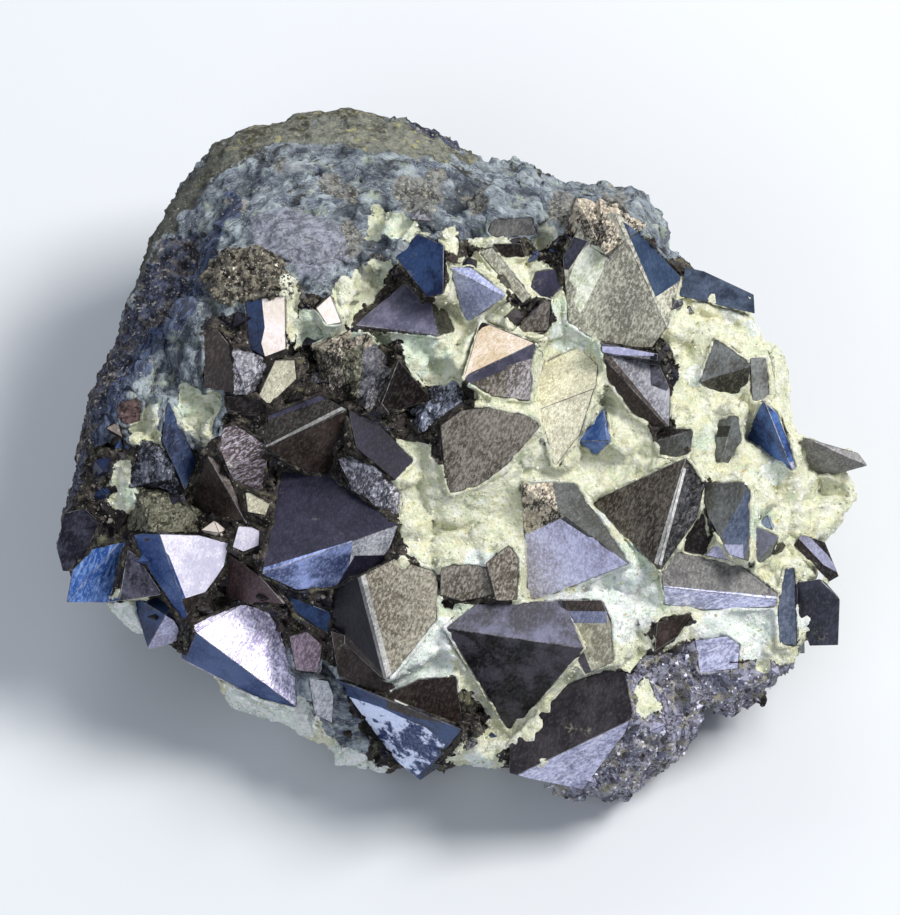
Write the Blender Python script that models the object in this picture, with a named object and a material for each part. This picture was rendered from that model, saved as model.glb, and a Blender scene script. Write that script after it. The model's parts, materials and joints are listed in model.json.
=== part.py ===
"""Magnetite specimen: octahedral crystals grown on one lump of ore and pale matrix.

The face that carries the crystals leans towards the front. A place on it is given as
(along, up) in millimetres on that leaning face, and "out" is the height above the plane
through the middle of the lump. Every crystal is a set of flat planes: a regular octahedron
or a flat-topped tablet, trimmed where its neighbours stop it and rooted in the rock.
"""

from dataclasses import dataclass
from itertools import combinations
from math import atan2, cos, pi, radians, sin, sqrt

import bmesh
import bpy
import numpy as np
from mathutils import Vector, noise
from mathutils.geometry import convex_hull_2d

MM = 0.001
LEAN = radians(65)
MIDDLE_HEIGHT = 21.0
GAP = 0.3
ROOT_DEPTH = 3.0
GROWN_OVERLAP = 0.4
LOWEST_CRYSTAL = 0.6
SIDE_FLARE = 0.2
RIM_UNDERCUT = -0.3
ROCK_TRIANGLES = 2400
SPHERE_STEPS = 6

# Distances and angles below which points and faces count as the same.
SAME_POINT = 0.00001
SAME_PLANE = radians(0.5)
TOUCH = 1e-6
LEAST_TURN = 1e-4

ALONG = np.array((1.0, 0.0, 0.0))
UP = np.array((0.0, sin(LEAN), cos(LEAN)))
OUT = np.array((0.0, -cos(LEAN), sin(LEAN)))
MIDDLE = np.array((0.0, 0.0, MIDDLE_HEIGHT))

# Profile of the lump: heights of its face and rim, and the powers that round its edges.
FACE_OUT = 9.0
RIM_OUT = -3.0
BACK_RIM_DROP = 9.0
BACK_RIM_POWER = 1.5
BACK_DEPTH = 48.0
BACK_POWER = 1.7
FACE_POWER = 2.7
FRONT_BLUNTNESS = 0.22
BACK_BLUNTNESS = 0.25
RELIEF_FADE = 4.0
FACE_SPREAD = 0.75

# Unevenness of the rock: sizes and heights of its coarse and fine noise.
COARSE_SIZE = 9.0
COARSE_HEIGHT = 1.3
FINE_SIZE = 3.6
FINE_HEIGHT = 0.6
FINE_SHIFT = (7.0, 3.0, 5.0)

# Rim of the lump on the leaning face, from its upper left round to the right.
RIM = (
    (-24.0, 39.2), (-18.0, 40.6), (-6.0, 40.3), (-1.0, 38.6), (3.6, 35.6), (13.2, 33.2), (18.0, 32.3),
    (23.0, 31.6), (25.3, 27.8), (25.6, 24.8), (30.0, 21.0), (35.4, 18.8), (36.8, 14.4), (39.1, 12.0),
    (39.4, 6.8), (40.3, 3.2), (46.4, -1.2), (47.4, -5.0), (45.4, -7.6), (43.8, -10.3), (43.4, -14.8),
    (43.2, -20.6), (41.6, -22.0), (40.2, -25.3), (36.0, -27.4), (30.0, -30.0), (28.8, -32.5),
    (25.8, -35.8), (22.8, -37.6), (21.0, -39.6), (16.8, -39.6), (11.4, -38.5), (7.0, -36.4), (0.6, -36.1),
    (-3.0, -36.9), (-9.0, -37.3), (-12.6, -36.2), (-13.8, -34.3), (-18.0, -31.6), (-25.8, -28.9),
    (-28.2, -25.0), (-34.2, -22.0), (-36.0, -21.0), (-40.8, -17.2), (-44.4, -14.8), (-46.0, -11.2),
    (-45.8, -6.6), (-44.0, -2.2), (-42.8, 6.8), (-41.6, 9.2), (-39.0, 15.0), (-38.0, 21.2), (-36.0, 25.4),
    (-31.2, 32.0), (-27.0, 36.8),
)

# Lumps and hollows of the rock face: (along, up), radius, height.
LUMPS = (
    ((-17.5, 25.0), 4.6, 3.6), ((-23.5, 20.5), 3.8, 3.4), ((-25.0, 29.5), 3.6, 1.8),
    ((-7.0, 31.0), 7.0, 1.4), ((9.0, 29.0), 6.0, 1.2), ((20.0, 27.0), 4.5, 1.4),
    ((-14.0, 32.5), 1.8, -1.6), ((-11.0, 33.0), 1.4, -1.4), ((-33.5, 16.0), 4.0, -1.6),
    ((-29.0, 9.0), 4.5, 1.0), ((-37.7, -3.6), 2.6, 3.2), ((-1.5, -3.5), 4.5, 1.6), ((4.5, -6.0), 4.0, 1.0),
    ((9.5, -2.0), 3.5, -0.9), ((14.5, 6.5), 3.5, 1.4), ((20.0, -4.5), 3.5, 1.4), ((23.0, 4.0), 3.0, -1.0),
    ((31.0, 6.0), 4.5, 1.8), ((34.5, 0.0), 4.0, 1.3), ((30.0, 13.5), 3.5, 1.2), ((42.5, -3.5), 3.0, 1.2),
    ((18.0, -16.5), 3.5, 1.4), ((30.0, -18.5), 3.5, 1.3), ((-5.0, -27.0), 3.5, 1.2),
    ((-7.5, 11.5), 4.0, 0.8), ((-2.0, 14.0), 3.0, 1.0), ((16.5, 15.5), 3.0, 1.0),
    ((22.0, -30.0), 5.0, 1.4), ((33.0, -25.0), 4.0, 1.0), ((-24.0, -6.0), 4.0, -1.5),
)

# Ledge along the left flank, beyond which the rock drops to the side, from the top down.
LEDGE = (
    (-24.0, 33.0), (-25.8, 30.8), (-28.2, 26.0), (-29.4, 20.0), (-34.2, 14.0), (-39.0, 8.0), (-41.4, 2.0),
)
LEDGE_DROP = 4.0
LEDGE_WIDTH = 1.6
LEDGE_FADE = 0.3

# Small octahedra grown into the rock along its lower right edge.
DRUSE_PATH = ((14.0, -36.5), (19.5, -36.0), (24.0, -33.0), (28.5, -28.5), (35.0, -26.0), (39.0, -23.5))
DRUSE_COUNT = 28
DRUSE_SPREAD = 3.2
DRUSE_EDGES = (2.0, 4.2)
DRUSE_SEED = 11

# Knots of small octahedra: how widely they scatter, how deep they sit and how their edges vary.
ROUGH_SCATTER = 0.7
ROUGH_SINK = 0.35
ROUGH_EDGES = (0.8, 1.25)
ROUGH_SEED = 5

TONES = {
    "slate": ((0.065, 0.055, 0.085), 0.30, 0.8),
    "umber": ((0.055, 0.032, 0.028), 0.38, 0.7),
    "black": ((0.025, 0.018, 0.018), 0.35, 0.7),
    "olive": ((0.150, 0.125, 0.080), 0.50, 0.5),
    "speckled": ((0.120, 0.090, 0.065), 0.50, 0.5),
    "lavender": ((0.280, 0.270, 0.420), 0.40, 0.6),
    "mauve": ((0.180, 0.130, 0.160), 0.40, 0.5),
    "frost": ((0.780, 0.740, 0.800), 0.45, 0.3),
    "cream": ((0.720, 0.650, 0.500), 0.50, 0.2),
    "grey": ((0.160, 0.150, 0.150), 0.45, 0.6),
    "navy": ((0.020, 0.060, 0.190), 0.25, 0.8),
    "maroon": ((0.060, 0.028, 0.036), 0.30, 0.7),
    "rock": ((0.240, 0.260, 0.220), 0.80, 0.0),
}


@dataclass(frozen=True)
class Octahedron:
    """A regular octahedron, given by the face that it shows, its nearest corner first."""

    name: str
    tone: str
    out: float
    face: tuple
    outline: tuple
    on: str = ""


@dataclass(frozen=True)
class Tablet:
    """A flat-topped crystal: the corners of its top, and how steeply the top leans along and up.

    Its sides spread by the flare as they go down, or draw in where it is below zero."""

    name: str
    tone: str
    out: float
    lean: tuple
    corners: tuple
    on: str = ""
    flare: float = SIDE_FLARE


@dataclass(frozen=True)
class Roof:
    """Two flat faces that meet in a ridge, and how steeply the left and the right one fall from it.

    The ridge is two places with their heights out; left and right are as seen along it."""

    name: str
    tone: str
    ridge: tuple
    falls: tuple
    outline: tuple
    on: str = ""


@dataclass(frozen=True)
class RoughCluster:
    """A knot of small octahedra turned every way."""

    name: str
    centre: tuple
    out: float
    spread: float
    count: int
    edge: float
    on: str = ""


OCTAHEDRA = (
    Octahedron(
        "slate_octahedron", "slate", out=15.5, face=((-22, -13.6), (-19.1, 1.2), (-6, -7.9)),
        outline=((-22.1, -13.6), (-19.9, -1.6), (-14.2, -2.8), (-12.6, -2.5), (-6, -7.7), (-4.9, -10.7),
            (-11.8, -12.8), (-13.8, -15.2), (-18, -15.5)),
    ),
    Octahedron(
        "olive_octahedron", "olive", out=15.5, face=((-11.4, -10.3), (-7.4, -26), (3.4, -15)),
        outline=((-12.1, -10.3), (-7.8, -11.5), (-2, -12.4), (-1.4, -14.2), (-1.6, -19), (-7.4, -26.3),
            (-13.2, -21), (-14, -17.2), (-13.2, -13.6)),
    ),
    Octahedron(
        "black_octahedron", "black", out=16, face=((15.6, -22.3), (-0.5, -20), (7.1, -32.5)),
        outline=((-0.5, -19.9), (3, -17.2), (12.8, -16.8), (16, -21.7), (16.8, -22.8), (9.4, -31.1),
            (7.2, -32.8)),
    ),
    Octahedron(
        "lavender_octahedron", "lavender", out=15, face=((20.9, -12.4), (8.4, -3.2), (9.2, -17.2)),
        outline=((8.4, -3.2), (12, -2.9), (14.5, -2.9), (17.3, -6.8), (21, -12.4), (13.2, -15.7),
            (9.6, -17), (8.5, -16.2)),
    ),
    Octahedron(
        "umber_octahedron", "umber", out=16, face=((24.2, -13.1), (27.6, 0), (16.6, -5.2)),
        outline=((16.6, -5.2), (18.6, -2.8), (25.2, 0.1), (27.7, 0.1), (29.8, -3.4), (28.9, -7.1),
            (24.6, -13.3), (22.8, -11.2)),
    ),
    Octahedron(
        "frosted_octahedron", "frost", out=11.5, face=((-29.8, -20.5), (-18.1, -29.4), (-18, -13.2)),
        outline=((-31.6, -20.5), (-29.6, -20.4), (-28.2, -18.7), (-24.4, -17.2), (-21.4, -18),
            (-18.7, -22), (-17.4, -27), (-17.5, -29.6), (-22.6, -28.3), (-27, -25.9), (-31.6, -23.6)),
    ),
    Octahedron(
        "streaked_octahedron", "navy", out=7.5, face=((-45, -17), (-38.3, -9.4), (-36.8, -17.2)),
        outline=((-45.1, -17.2), (-44.4, -13.3), (-42, -10.7), (-36.4, -9.5), (-37, -13),
            (-38.2, -17.3)),
    ),
    Octahedron(
        "maroon_left_octahedron", "umber", out=12.5, face=((-28.4, 0.2), (-30.8, -6.1), (-23.8, -7.8)),
        outline=((-30.4, -1.6), (-28.4, 0.2), (-26.6, -0.6), (-23.5, -8), (-30, -6.7), (-31, -6.1)),
    ),
    Octahedron(
        "brown_octahedron", "umber", out=15, face=((-21.6, 1.1), (-12, 5.6), (-14.6, -3)),
        outline=((-22.1, 2), (-21.6, 4.8), (-14.4, 7.7), (-12.1, 5.8), (-12, 1.1), (-14.5, -3.2),
            (-18, -2), (-21.8, -0.4)),
    ),
    Octahedron(
        "speckled_octahedron", "umber", out=13.5, face=((-21.6, 1.1), (-26.9, -1.6), (-26.2, 4)),
        outline=((-26.4, 3.1), (-21.7, 4.8), (-21.4, -0.2), (-19.8, -2.5), (-20.6, -5), (-24, -3.5),
            (-26.9, -0.8)), on="brown_octahedron",
    ),
    Octahedron(
        "black_wedge", "black", out=15.5, face=((-6, 11.4), (-8.6, 4.7), (-2.2, 6.8)),
        outline=((-6, 11.4), (-2, 7.6), (-3.8, 5.3), (-8.6, 5.9)),
    ),
    Octahedron(
        "cream_topped_octahedron", "cream", out=16.5, face=((1.6, 9.2), (3.6, 16), (9.8, 13.4)),
        outline=((-0.5, 13.2), (3.6, 16.3), (9.8, 13.8), (12.8, 12.8), (12, 7.3), (10.2, 6.5),
            (6.6, 7.1), (2.2, 7.6), (0.6, 10.2)),
    ),
    Octahedron(
        "purple_octahedron", "slate", out=14.5, face=((-1.4, 14.4), (-11.2, 15.6), (-3.1, 22.4)),
        outline=((-11.3, 15.4), (-6, 21.2), (-3.1, 22.7), (-0.8, 18.8), (0.6, 14.8), (-1.4, 14.2)),
    ),
    Octahedron(
        "small_purple_octahedron", "slate", out=14, face=((6.4, 18.8), (0, 22.2), (1.8, 15.6)),
        outline=((0, 22.3), (2.4, 22.3), (7, 18.8), (3.4, 16.3), (1.6, 15.4)),
    ),
    Octahedron(
        "blue_chip", "navy", out=13, face=((18.4, 2), (15, 1.9), (18, 5.8)),
        outline=((18.1, 5.9), (18.8, 1.9), (16.8, -0.2), (14.9, 1.8)),
    ),
    Octahedron(
        "navy_octahedron", "navy", out=9, face=((40.2, -1.6), (34.6, 2.4), (36.8, 6.8)),
        outline=((36.6, 6.7), (38.4, 5.2), (39.7, 2), (40.7, -1.6), (38.2, -1.2), (34.8, 2.3)),
    ),
    Octahedron(
        "tip_octahedron", "grey", out=6.5, face=((49, -1), (41.4, 2.4), (42.6, -2.8)),
        outline=((41.4, 2.4), (48, 0.5), (49.2, -1.1), (47.8, -1.8), (43.4, -2), (42, -1.1)),
    ),
    Octahedron(
        "etched_octahedron", "navy", out=9, face=((-13.4, -26), (1.4, -31.8), (-4.2, -38.9)),
        outline=((-13.7, -25.9), (-11.8, -26.5), (1.4, -31.7), (0.8, -34.8), (-4.2, -39), (-6.6, -37.8),
            (-10.7, -32.5)),
    ),
    Octahedron(
        "brick_octahedron", "umber", out=12, face=((-25.7, -10), (-26.5, -17.2), (-19.4, -17.2)),
        outline=((-25.9, -10.7), (-24.5, -10.1), (-21.7, -13.9), (-19.1, -17.3), (-22.6, -18.2),
            (-26.6, -16.9)),
    ),
    Octahedron(
        "pointed_octahedron", "navy", out=8.5, face=((-33.4, -18.5), (-37.4, -16.3), (-35.8, -22.7)),
        outline=((-37.3, -16.9), (-33.8, -16.4), (-31.3, -21.2), (-31.4, -23.4), (-35, -24),
            (-35.8, -21.7)),
    ),
)

ROOFS = (
    Roof(
        "white_octahedron", "frost", ridge=((-33.4, -10.8, 12.5), (-31, -17.9, 10.5)), falls=(0.12, 0.9),
        outline=((-37.1, -9.1), (-36, -8.9), (-33.2, -10.1), (-29.4, -9.1), (-25.7, -10.1),
            (-26.4, -12.6), (-27.6, -14.4), (-30.7, -17.5), (-31.2, -19.1), (-32.4, -17.6),
            (-36, -12.1)),
    ),
    Roof(
        "banded_octahedron", "grey", ridge=((18.2, 11.4, 14), (25.4, 3.6, 11.5)), falls=(0.35, 0.8),
        outline=((18, 12.6), (23.8, 12.6), (25.8, 8), (25.7, 3.6), (24.2, 3.5), (21.4, 5.2),
            (18.2, 9.5)),
    ),
    Roof(
        "grey_flake", "grey", ridge=((29.4, 8.9, 8.6), (35.3, 10.7, 9.4)), falls=(0.1, 0.7),
        outline=((31.1, 14), (35.3, 10.9), (35, 8.8), (33.6, 7.2), (30.5, 7.9), (29.4, 9)),
    ),
    Roof(
        "small_grey_block", "grey", ridge=((33.2, 4.6, 10.4), (31.8, -0.6, 8.6)), falls=(0.25, 0.8),
        outline=((31.4, 4.4), (33.7, 4.9), (34.2, 2), (32.6, -0.8), (31.1, -0.4)),
    ),
    Roof(
        "small_dark_block", "black", ridge=((24, 1.9, 11.4), (28.4, 3.2, 11)), falls=(0.9, 0.3),
        outline=((24.1, 3), (26.2, 4), (28.3, 3.5), (28.6, 1.6), (27.6, -0.1), (24.6, 0.4)),
    ),
    Roof(
        "peak_octahedron", "grey", ridge=((19.6, 27.7, 13.5), (25.4, 15.2, 11.5)), falls=(0.9, 0.25),
        outline=((13.2, 23.4), (15.6, 28), (19.4, 28.7), (21, 27.7), (27.1, 21.2), (25.7, 15.7),
            (23.5, 12.6), (17, 13.8), (13.9, 15.8)),
    ),
    Roof(
        "maroon_octahedron", "maroon", ridge=((6.6, -37.8, 11), (21.4, -30.6, 12.5)), falls=(0.3, 0.8),
        outline=((7, -33.7), (13.8, -26.6), (18, -24.8), (20.5, -25.2), (21.4, -29.8), (20.6, -32.2),
            (18.1, -35.4), (15.6, -39), (9.4, -37.7), (7, -37)),
    ),
    Roof(
        "wide_block", "grey", ridge=((24, -15.1, 11), (38.6, -16.7, 9)), falls=(0.15, 1.0),
        outline=((24.6, -12), (26.2, -11), (34.2, -12.7), (38.5, -16), (38.2, -17.5), (30, -17.9),
            (25.2, -17.2)),
    ),
)

TABLETS = (
    Tablet(
        "sliver", "navy", out=9.5, lean=(-0.6, -0.1),
        corners=((-33.1, 6.8), (-30, -0.5), (-31.1, -3.8), (-34, 2)),
    ),
    Tablet(
        "slate_flank", "slate", out=14, lean=(-0.5, -0.5),
        corners=((-11.8, 5.5), (-8.6, 3.8), (-4.6, -0.4), (-6.4, -2.9), (-11.2, 1)),
    ),
    Tablet(
        "brown_trapezoid", "speckled", out=14.5, lean=(-0.1, 0.35),
        corners=((-1.4, 3.8), (1.2, 5.8), (4.4, 6.1), (10.1, 4.7), (10.4, 3.5), (6, -1.2), (3, -3),
            (0.2, -3.8), (-0.5, -1.6)),
    ),
    Tablet(
        "cream_tablet", "cream", out=13.5, lean=(0.15, 0.1),
        corners=((11.4, 6.6), (12.1, 10.4), (15, 11.8), (17, 10.6), (17.2, 8.5), (14.5, 3.2),
            (13.9, -1.1), (13, -1.8), (9.6, 2.3), (7.4, 5.4), (6.4, 7.6)),
    ),
    Tablet(
        "blue_cap", "navy", out=13, lean=(0.4, -0.4),
        corners=((-5.5, 23.4), (-3.6, 25.4), (-1.1, 24.6), (-0.7, 19.1), (-2.6, 18.8),
            (-3.1, 22.2)), on="purple_octahedron",
    ),
    Tablet(
        "slanted_bar", "grey", out=10.5, lean=(0.3, 0.1),
        corners=((3.6, 24.1), (4.9, 24.6), (9.6, 18.8), (8.5, 18)),
    ),
    Tablet(
        "dark_ledge", "black", out=10, lean=(0.0, 0.5),
        corners=((-1.2, 24.8), (8.4, 25.2), (8.8, 23.5), (-1, 23.3)),
    ),
    Tablet(
        "violet_block", "slate", out=7.5, lean=(0.0, 0.1),
        corners=((4, 25.3), (5, 28), (9.6, 28.2), (10.6, 25.4)),
    ),
    Tablet(
        "violet_chip", "slate", out=10, lean=(0.1, 0.2),
        corners=((10.1, 21.8), (12.4, 22.2), (13.1, 20), (11.5, 18.4), (9.5, 20)),
    ),
    Tablet(
        "brown_chip", "umber", out=13, lean=(0.2, 0.1),
        corners=((7.3, 16.7), (9.4, 19.2), (11.9, 18.2), (11.5, 14.9), (8.4, 14.8)),
    ),
    Tablet(
        "navy_tablet", "navy", out=4.5, lean=(-0.1, -0.5),
        corners=((24.6, 23.4), (30, 22.2), (35.8, 19.2), (35.6, 17.3), (30.6, 19),
            (25.2, 19.7)), flare=RIM_UNDERCUT,
    ),
    Tablet(
        "banded_plate", "slate", out=14, lean=(0.0, 0.3),
        corners=((17.9, 14.8), (24.2, 13), (23.9, 11.8), (18.1, 12.6)), on="banded_octahedron",
    ),
    Tablet(
        "narrow_blade", "navy", out=7.5, lean=(-0.4, 0.0),
        corners=((35.5, 11.4), (36.8, 11.4), (37.1, 7.1), (35.8, 7)), on="grey_flake",
    ),
    Tablet(
        "dusky_facet", "slate", out=9.5, lean=(-0.25, 0.0),
        corners=((-37.6, -11.3), (-35.8, -12.6), (-33.2, -15.1), (-36, -16.7),
            (-38.6, -16.9)), on="streaked_octahedron",
    ),
    Tablet(
        "russet_knob", "umber", out=8, lean=(-0.2, 0.3),
        corners=((-39.1, 6.4), (-37.7, 7.2), (-36.2, 6.4), (-36.6, 4.4), (-38.2, 4), (-39.1, 4.9)),
    ),
    Tablet(
        "edge_flake", "grey", out=6.2, lean=(0.1, 0.2),
        corners=((43.4, -2.3), (48.1, -3.8), (46.3, -4.9),
            (42.2, -5.3)), on="tip_octahedron", flare=RIM_UNDERCUT,
    ),
    Tablet(
        "right_strip", "slate", out=6.5, lean=(0.4, 0.2),
        corners=((40, -10.3), (41.3, -9), (43.9, -10.1), (45.5, -13.9),
            (44.6, -14.6)), flare=RIM_UNDERCUT,
    ),
    Tablet(
        "blue_column", "navy", out=8, lean=(-0.1, 0.0),
        corners=((38.4, -13.1), (40.4, -13), (40.7, -22), (38.6, -22)),
    ),
    Tablet(
        "right_block", "black", out=6.5, lean=(0.3, 0.1),
        corners=((40.4, -15.1), (43.8, -14.9), (45, -16.6), (45, -21.5),
            (42.5, -21.8)), on="blue_column", flare=RIM_UNDERCUT,
    ),
    Tablet(
        "olive_flank", "olive", out=12, lean=(0.45, -0.1),
        corners=((29.8, -3.4), (34.3, -2.9), (35.3, -4.1), (35.2, -12.5), (32.6, -11.4), (30.4, -6.6)),
    ),
    Tablet(
        "dark_inlet", "black", out=9.5, lean=(0.0, 0.2),
        corners=((28.1, -7.6), (30, -6.6), (30.7, -10), (28.8, -11.9),
            (27.8, -11.2)), on="umber_octahedron",
    ),
    Tablet(
        "lavender_bit", "lavender", out=10, lean=(0.0, 0.3),
        corners=((28.8, -11.9), (30.7, -10.4), (34, -11.5), (33.6, -13.1),
            (30, -13.1)), on="olive_flank",
    ),
    Tablet(
        "small_lavender_face", "lavender", out=8.5, lean=(0.3, 0.0),
        corners=((35.5, -8.3), (38.3, -9.4), (37.4, -11.4), (35.5, -12.5)), on="olive_flank",
    ),
    Tablet(
        "lavender_block", "lavender", out=8, lean=(0.1, 0.1),
        corners=((28.8, -21.5), (32.6, -20.9), (34.1, -22), (33.8, -24.8), (29.4, -25.2)),
    ),
    Tablet(
        "dark_splinter", "black", out=10.5, lean=(-0.2, 0.2),
        corners=((24.2, -19.3), (28.4, -18.2), (26.6, -21), (24, -22.7)),
    ),
    Tablet(
        "brown_base", "umber", out=9.5, lean=(0.0, 0.3),
        corners=((-7.2, -28), (-3.6, -26.2), (0.5, -25.8), (1, -30.8), (-3, -31.1),
            (-6, -29.9)), on="etched_octahedron",
    ),
    Tablet(
        "blue_sliver", "navy", out=10, lean=(0.1, 0.5),
        corners=((-19.2, -16), (-13.8, -18.2), (-14.4, -20.5), (-18.4, -17.9)),
    ),
    Tablet(
        "mauve_block", "mauve", out=9.5, lean=(0.2, 0.1),
        corners=((-18.8, -21), (-16.8, -20.4), (-14.9, -22), (-15.4, -25.3), (-18, -24.8)),
    ),
    Tablet(
        "pale_lavender_block", "lavender", out=7, lean=(0.2, 0.2),
        corners=((-16.7, -25.6), (-14.6, -25.1), (-13.6, -28), (-13.9, -31.1), (-15.8, -30.1)),
    ),
    Tablet(
        "dark_brown_flank", "umber", out=10, lean=(0.1, 0.3),
        corners=((-13.8, -20.5), (-11.8, -21.2), (-5.9, -28.2), (-7.7, -29.3),
            (-12.6, -25.9)), on="olive_octahedron",
    ),
    Tablet(
        "speckled_block", "speckled", out=13, lean=(0.0, 0.3),
        corners=((-1.4, -12.7), (2.4, -12.4), (5.5, -13.1), (5.3, -16), (1.4, -16.7), (-1.1, -16)),
    ),
    Tablet(
        "dark_facet", "black", out=13, lean=(-0.3, 0.1),
        corners=((4.4, -12.4), (6.8, -10.6), (8.8, -13.6), (8.3, -16.7),
            (5.6, -16.4)), on="speckled_block",
    ),
    Tablet(
        "khaki_block", "olive", out=12.5, lean=(0.2, 0.2),
        corners=((13.4, -17), (17.6, -16.8), (18.7, -19.4), (18.7, -23.8), (16.1, -24.7),
            (14, -20.8)), on="black_octahedron",
    ),
    Tablet(
        "white_blade", "frost", out=12, lean=(0.3, 0.0),
        corners=((-23.8, 18.2), (-22, 18.6), (-19.2, 19.1), (-19.1, 12.6), (-21.6, 11.8), (-23.4, 12.8)),
    ),
    Tablet(
        "brown_slot", "umber", out=11, lean=(0.3, 0.1),
        corners=((-28.9, 14.5), (-27.4, 15.2), (-25.2, 12.6), (-25.2, 7.4), (-28.6, 8.3)),
    ),
    Tablet(
        "cream_chip", "cream", out=13.5, lean=(0.1, 0.1),
        corners=((-22.3, 7.3), (-20.5, 11.4), (-18.1, 11.5), (-17.9, 9.2), (-21.2, 6.2)),
    ),
    Tablet(
        "black_slot", "black", out=12, lean=(0.0, 0.3),
        corners=((-26.2, 7.2), (-22.6, 7.2), (-20.9, 5.9), (-22.6, 5.2), (-26, 5.5)),
    ),
    Tablet(
        "pink_chip", "frost", out=13, lean=(0.0, 0.0),
        corners=((-15.7, 17.5), (-14, 19), (-12.7, 15.8), (-14.4, 15.5)),
    ),
    Tablet(
        "left_point", "black", out=6.5, lean=(-0.3, 0.2),
        corners=((-45, -6.8), (-43, -6.1), (-41, -7.6), (-43, -11.9), (-44.4, -13.6), (-45.6, -13.4),
            (-46.1, -10.6)), flare=RIM_UNDERCUT,
    ),
    Tablet(
        "pale_chip", "frost", out=11.5, lean=(0.0, 0.0),
        corners=((-25.4, -8.6), (-24, -8.2), (-22.6, -8.8), (-22.7, -10.1), (-24.2, -10.7),
            (-25.6, -10.1)), on="brick_octahedron",
    ),
    Tablet(
        "cream_speck", "cream", out=12.5, lean=(0.0, 0.0),
        corners=((-23.6, -4.4), (-22.3, -4), (-21.2, -4.9), (-21.8, -6.4),
            (-23.4, -6.1)), on="maroon_left_octahedron",
    ),
)

ROUGH_CLUSTERS = (
    RoughCluster(
        "rough_crest", centre=(-8.8, -3.5), out=13.2, spread=2.4, count=4, edge=5.2,
    ),
    RoughCluster(
        "rough_brown_cluster", centre=(-10.6, 9.5), out=13, spread=3.8, count=6, edge=6,
    ),
    RoughCluster(
        "rough_dark_cluster", centre=(-1, 5.9), out=13, spread=2.9, count=4, edge=5.5,
    ),
    RoughCluster(
        "rough_left_cluster", centre=(-33.4, -0.6), out=9.5, spread=1.4, count=3, edge=5,
    ),
    RoughCluster(
        "rough_lower_left_cluster", centre=(-33.1, -7.7), out=10.4, spread=1.6, count=3, edge=8,
    ),
    RoughCluster(
        "rough_grey_cluster", centre=(-23.9, 9.4), out=12.5, spread=1.9, count=3, edge=5,
    ),
    RoughCluster(
        "rough_peak", centre=(17.6, 27), out=12.5, spread=2.2, count=3, edge=5, on="peak_octahedron",
    ),
)


def place(along, up, out):
    """The point at this place on the leaning face, in millimetres."""
    return MIDDLE + along * ALONG + up * UP + out * OUT


def rim_reach(angle):
    """How far the rim is from the middle in this direction."""
    angles = [atan2(up, along) for along, up in RIM]
    reaches = [sqrt(along * along + up * up) for along, up in RIM]
    return float(np.interp(angle, *zip(*sorted(zip(angles, reaches))), period=2 * pi))


def rim_out(angle):
    """The rim stands lower towards the back of the lump."""
    return RIM_OUT - BACK_RIM_DROP * max(0.0, sin(angle)) ** BACK_RIM_POWER


def ledge_at(angle, reach):
    """How far the rock has dropped beyond the ledge of its left flank."""
    angles = [atan2(up, along) for along, up in LEDGE]
    edge = np.interp(angle, angles, [sqrt(along * along + up * up) for along, up in LEDGE])
    beyond = min(1.0, max(0.0, (reach - edge) / LEDGE_WIDTH))
    inside = min(angle - angles[0], angles[-1] - angle) / LEDGE_FADE
    return LEDGE_DROP * beyond * min(1.0, max(0.0, inside))


def lumps_at(along, up):
    """Summed height of the lumps and hollows at a place on the face."""
    total = 0.0
    for (lump_along, lump_up), radius, height in LUMPS:
        apart = (along - lump_along) ** 2 + (up - lump_up) ** 2
        total += height * np.exp(-apart / radius ** 2)
    return total


def rock_out(along, up):
    """Height of the rock's face at a place inside the rim."""
    angle = atan2(up, along)
    share = min(1.0, sqrt(along * along + up * up) / rim_reach(angle))
    bluntness = FRONT_BLUNTNESS + BACK_BLUNTNESS * max(0.0, sin(angle))
    rise = (1.0 - share ** FACE_POWER) ** bluntness
    low = rim_out(angle)
    relief = lumps_at(along, up) - ledge_at(angle, share * rim_reach(angle))
    return low + (FACE_OUT - low) * rise + relief * min(1.0, RELIEF_FADE * (1.0 - share))


def rock_point(direction):
    """Moves a point of the unit sphere onto the lump; its z axis is the way out."""
    angle = atan2(direction.y, direction.x)
    flat = min(1.0, sqrt(direction.x ** 2 + direction.y ** 2))
    share = flat ** FACE_SPREAD
    along = share * rim_reach(angle) * cos(angle)
    up = share * rim_reach(angle) * sin(angle)
    if direction.z >= 0.0:
        point = place(along, up, rock_out(along, up))
    else:
        sunk = BACK_DEPTH * (1.0 - share ** BACK_POWER)
        point = place(along, up, rim_out(angle) - sunk)
    return point + roughness(point)


def roughness(point):
    """A small push in or out that makes the rock uneven."""
    coarse = noise.noise(Vector(point) / COARSE_SIZE)
    fine = noise.noise(Vector(point) / FINE_SIZE + Vector(FINE_SHIFT))
    outward = (point - MIDDLE) / np.linalg.norm(point - MIDDLE)
    return outward * (COARSE_HEIGHT * coarse + FINE_HEIGHT * fine)


def octahedron_planes(centre, normals, edge):
    """The eight planes of a regular octahedron, as pairs of outward normal and distance."""
    reach = edge / sqrt(6.0)
    return [(normal, float(normal @ centre) + reach) for normal in normals]


def octahedron_normals(corner_ways):
    """Outward normals of the eight faces, from the three ways to the corners."""
    signs = [(a, b, c) for a in (1, -1) for b in (1, -1) for c in (1, -1)]
    ways = np.array(corner_ways)
    return [np.array(s) @ ways / sqrt(3.0) for s in signs]


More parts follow.
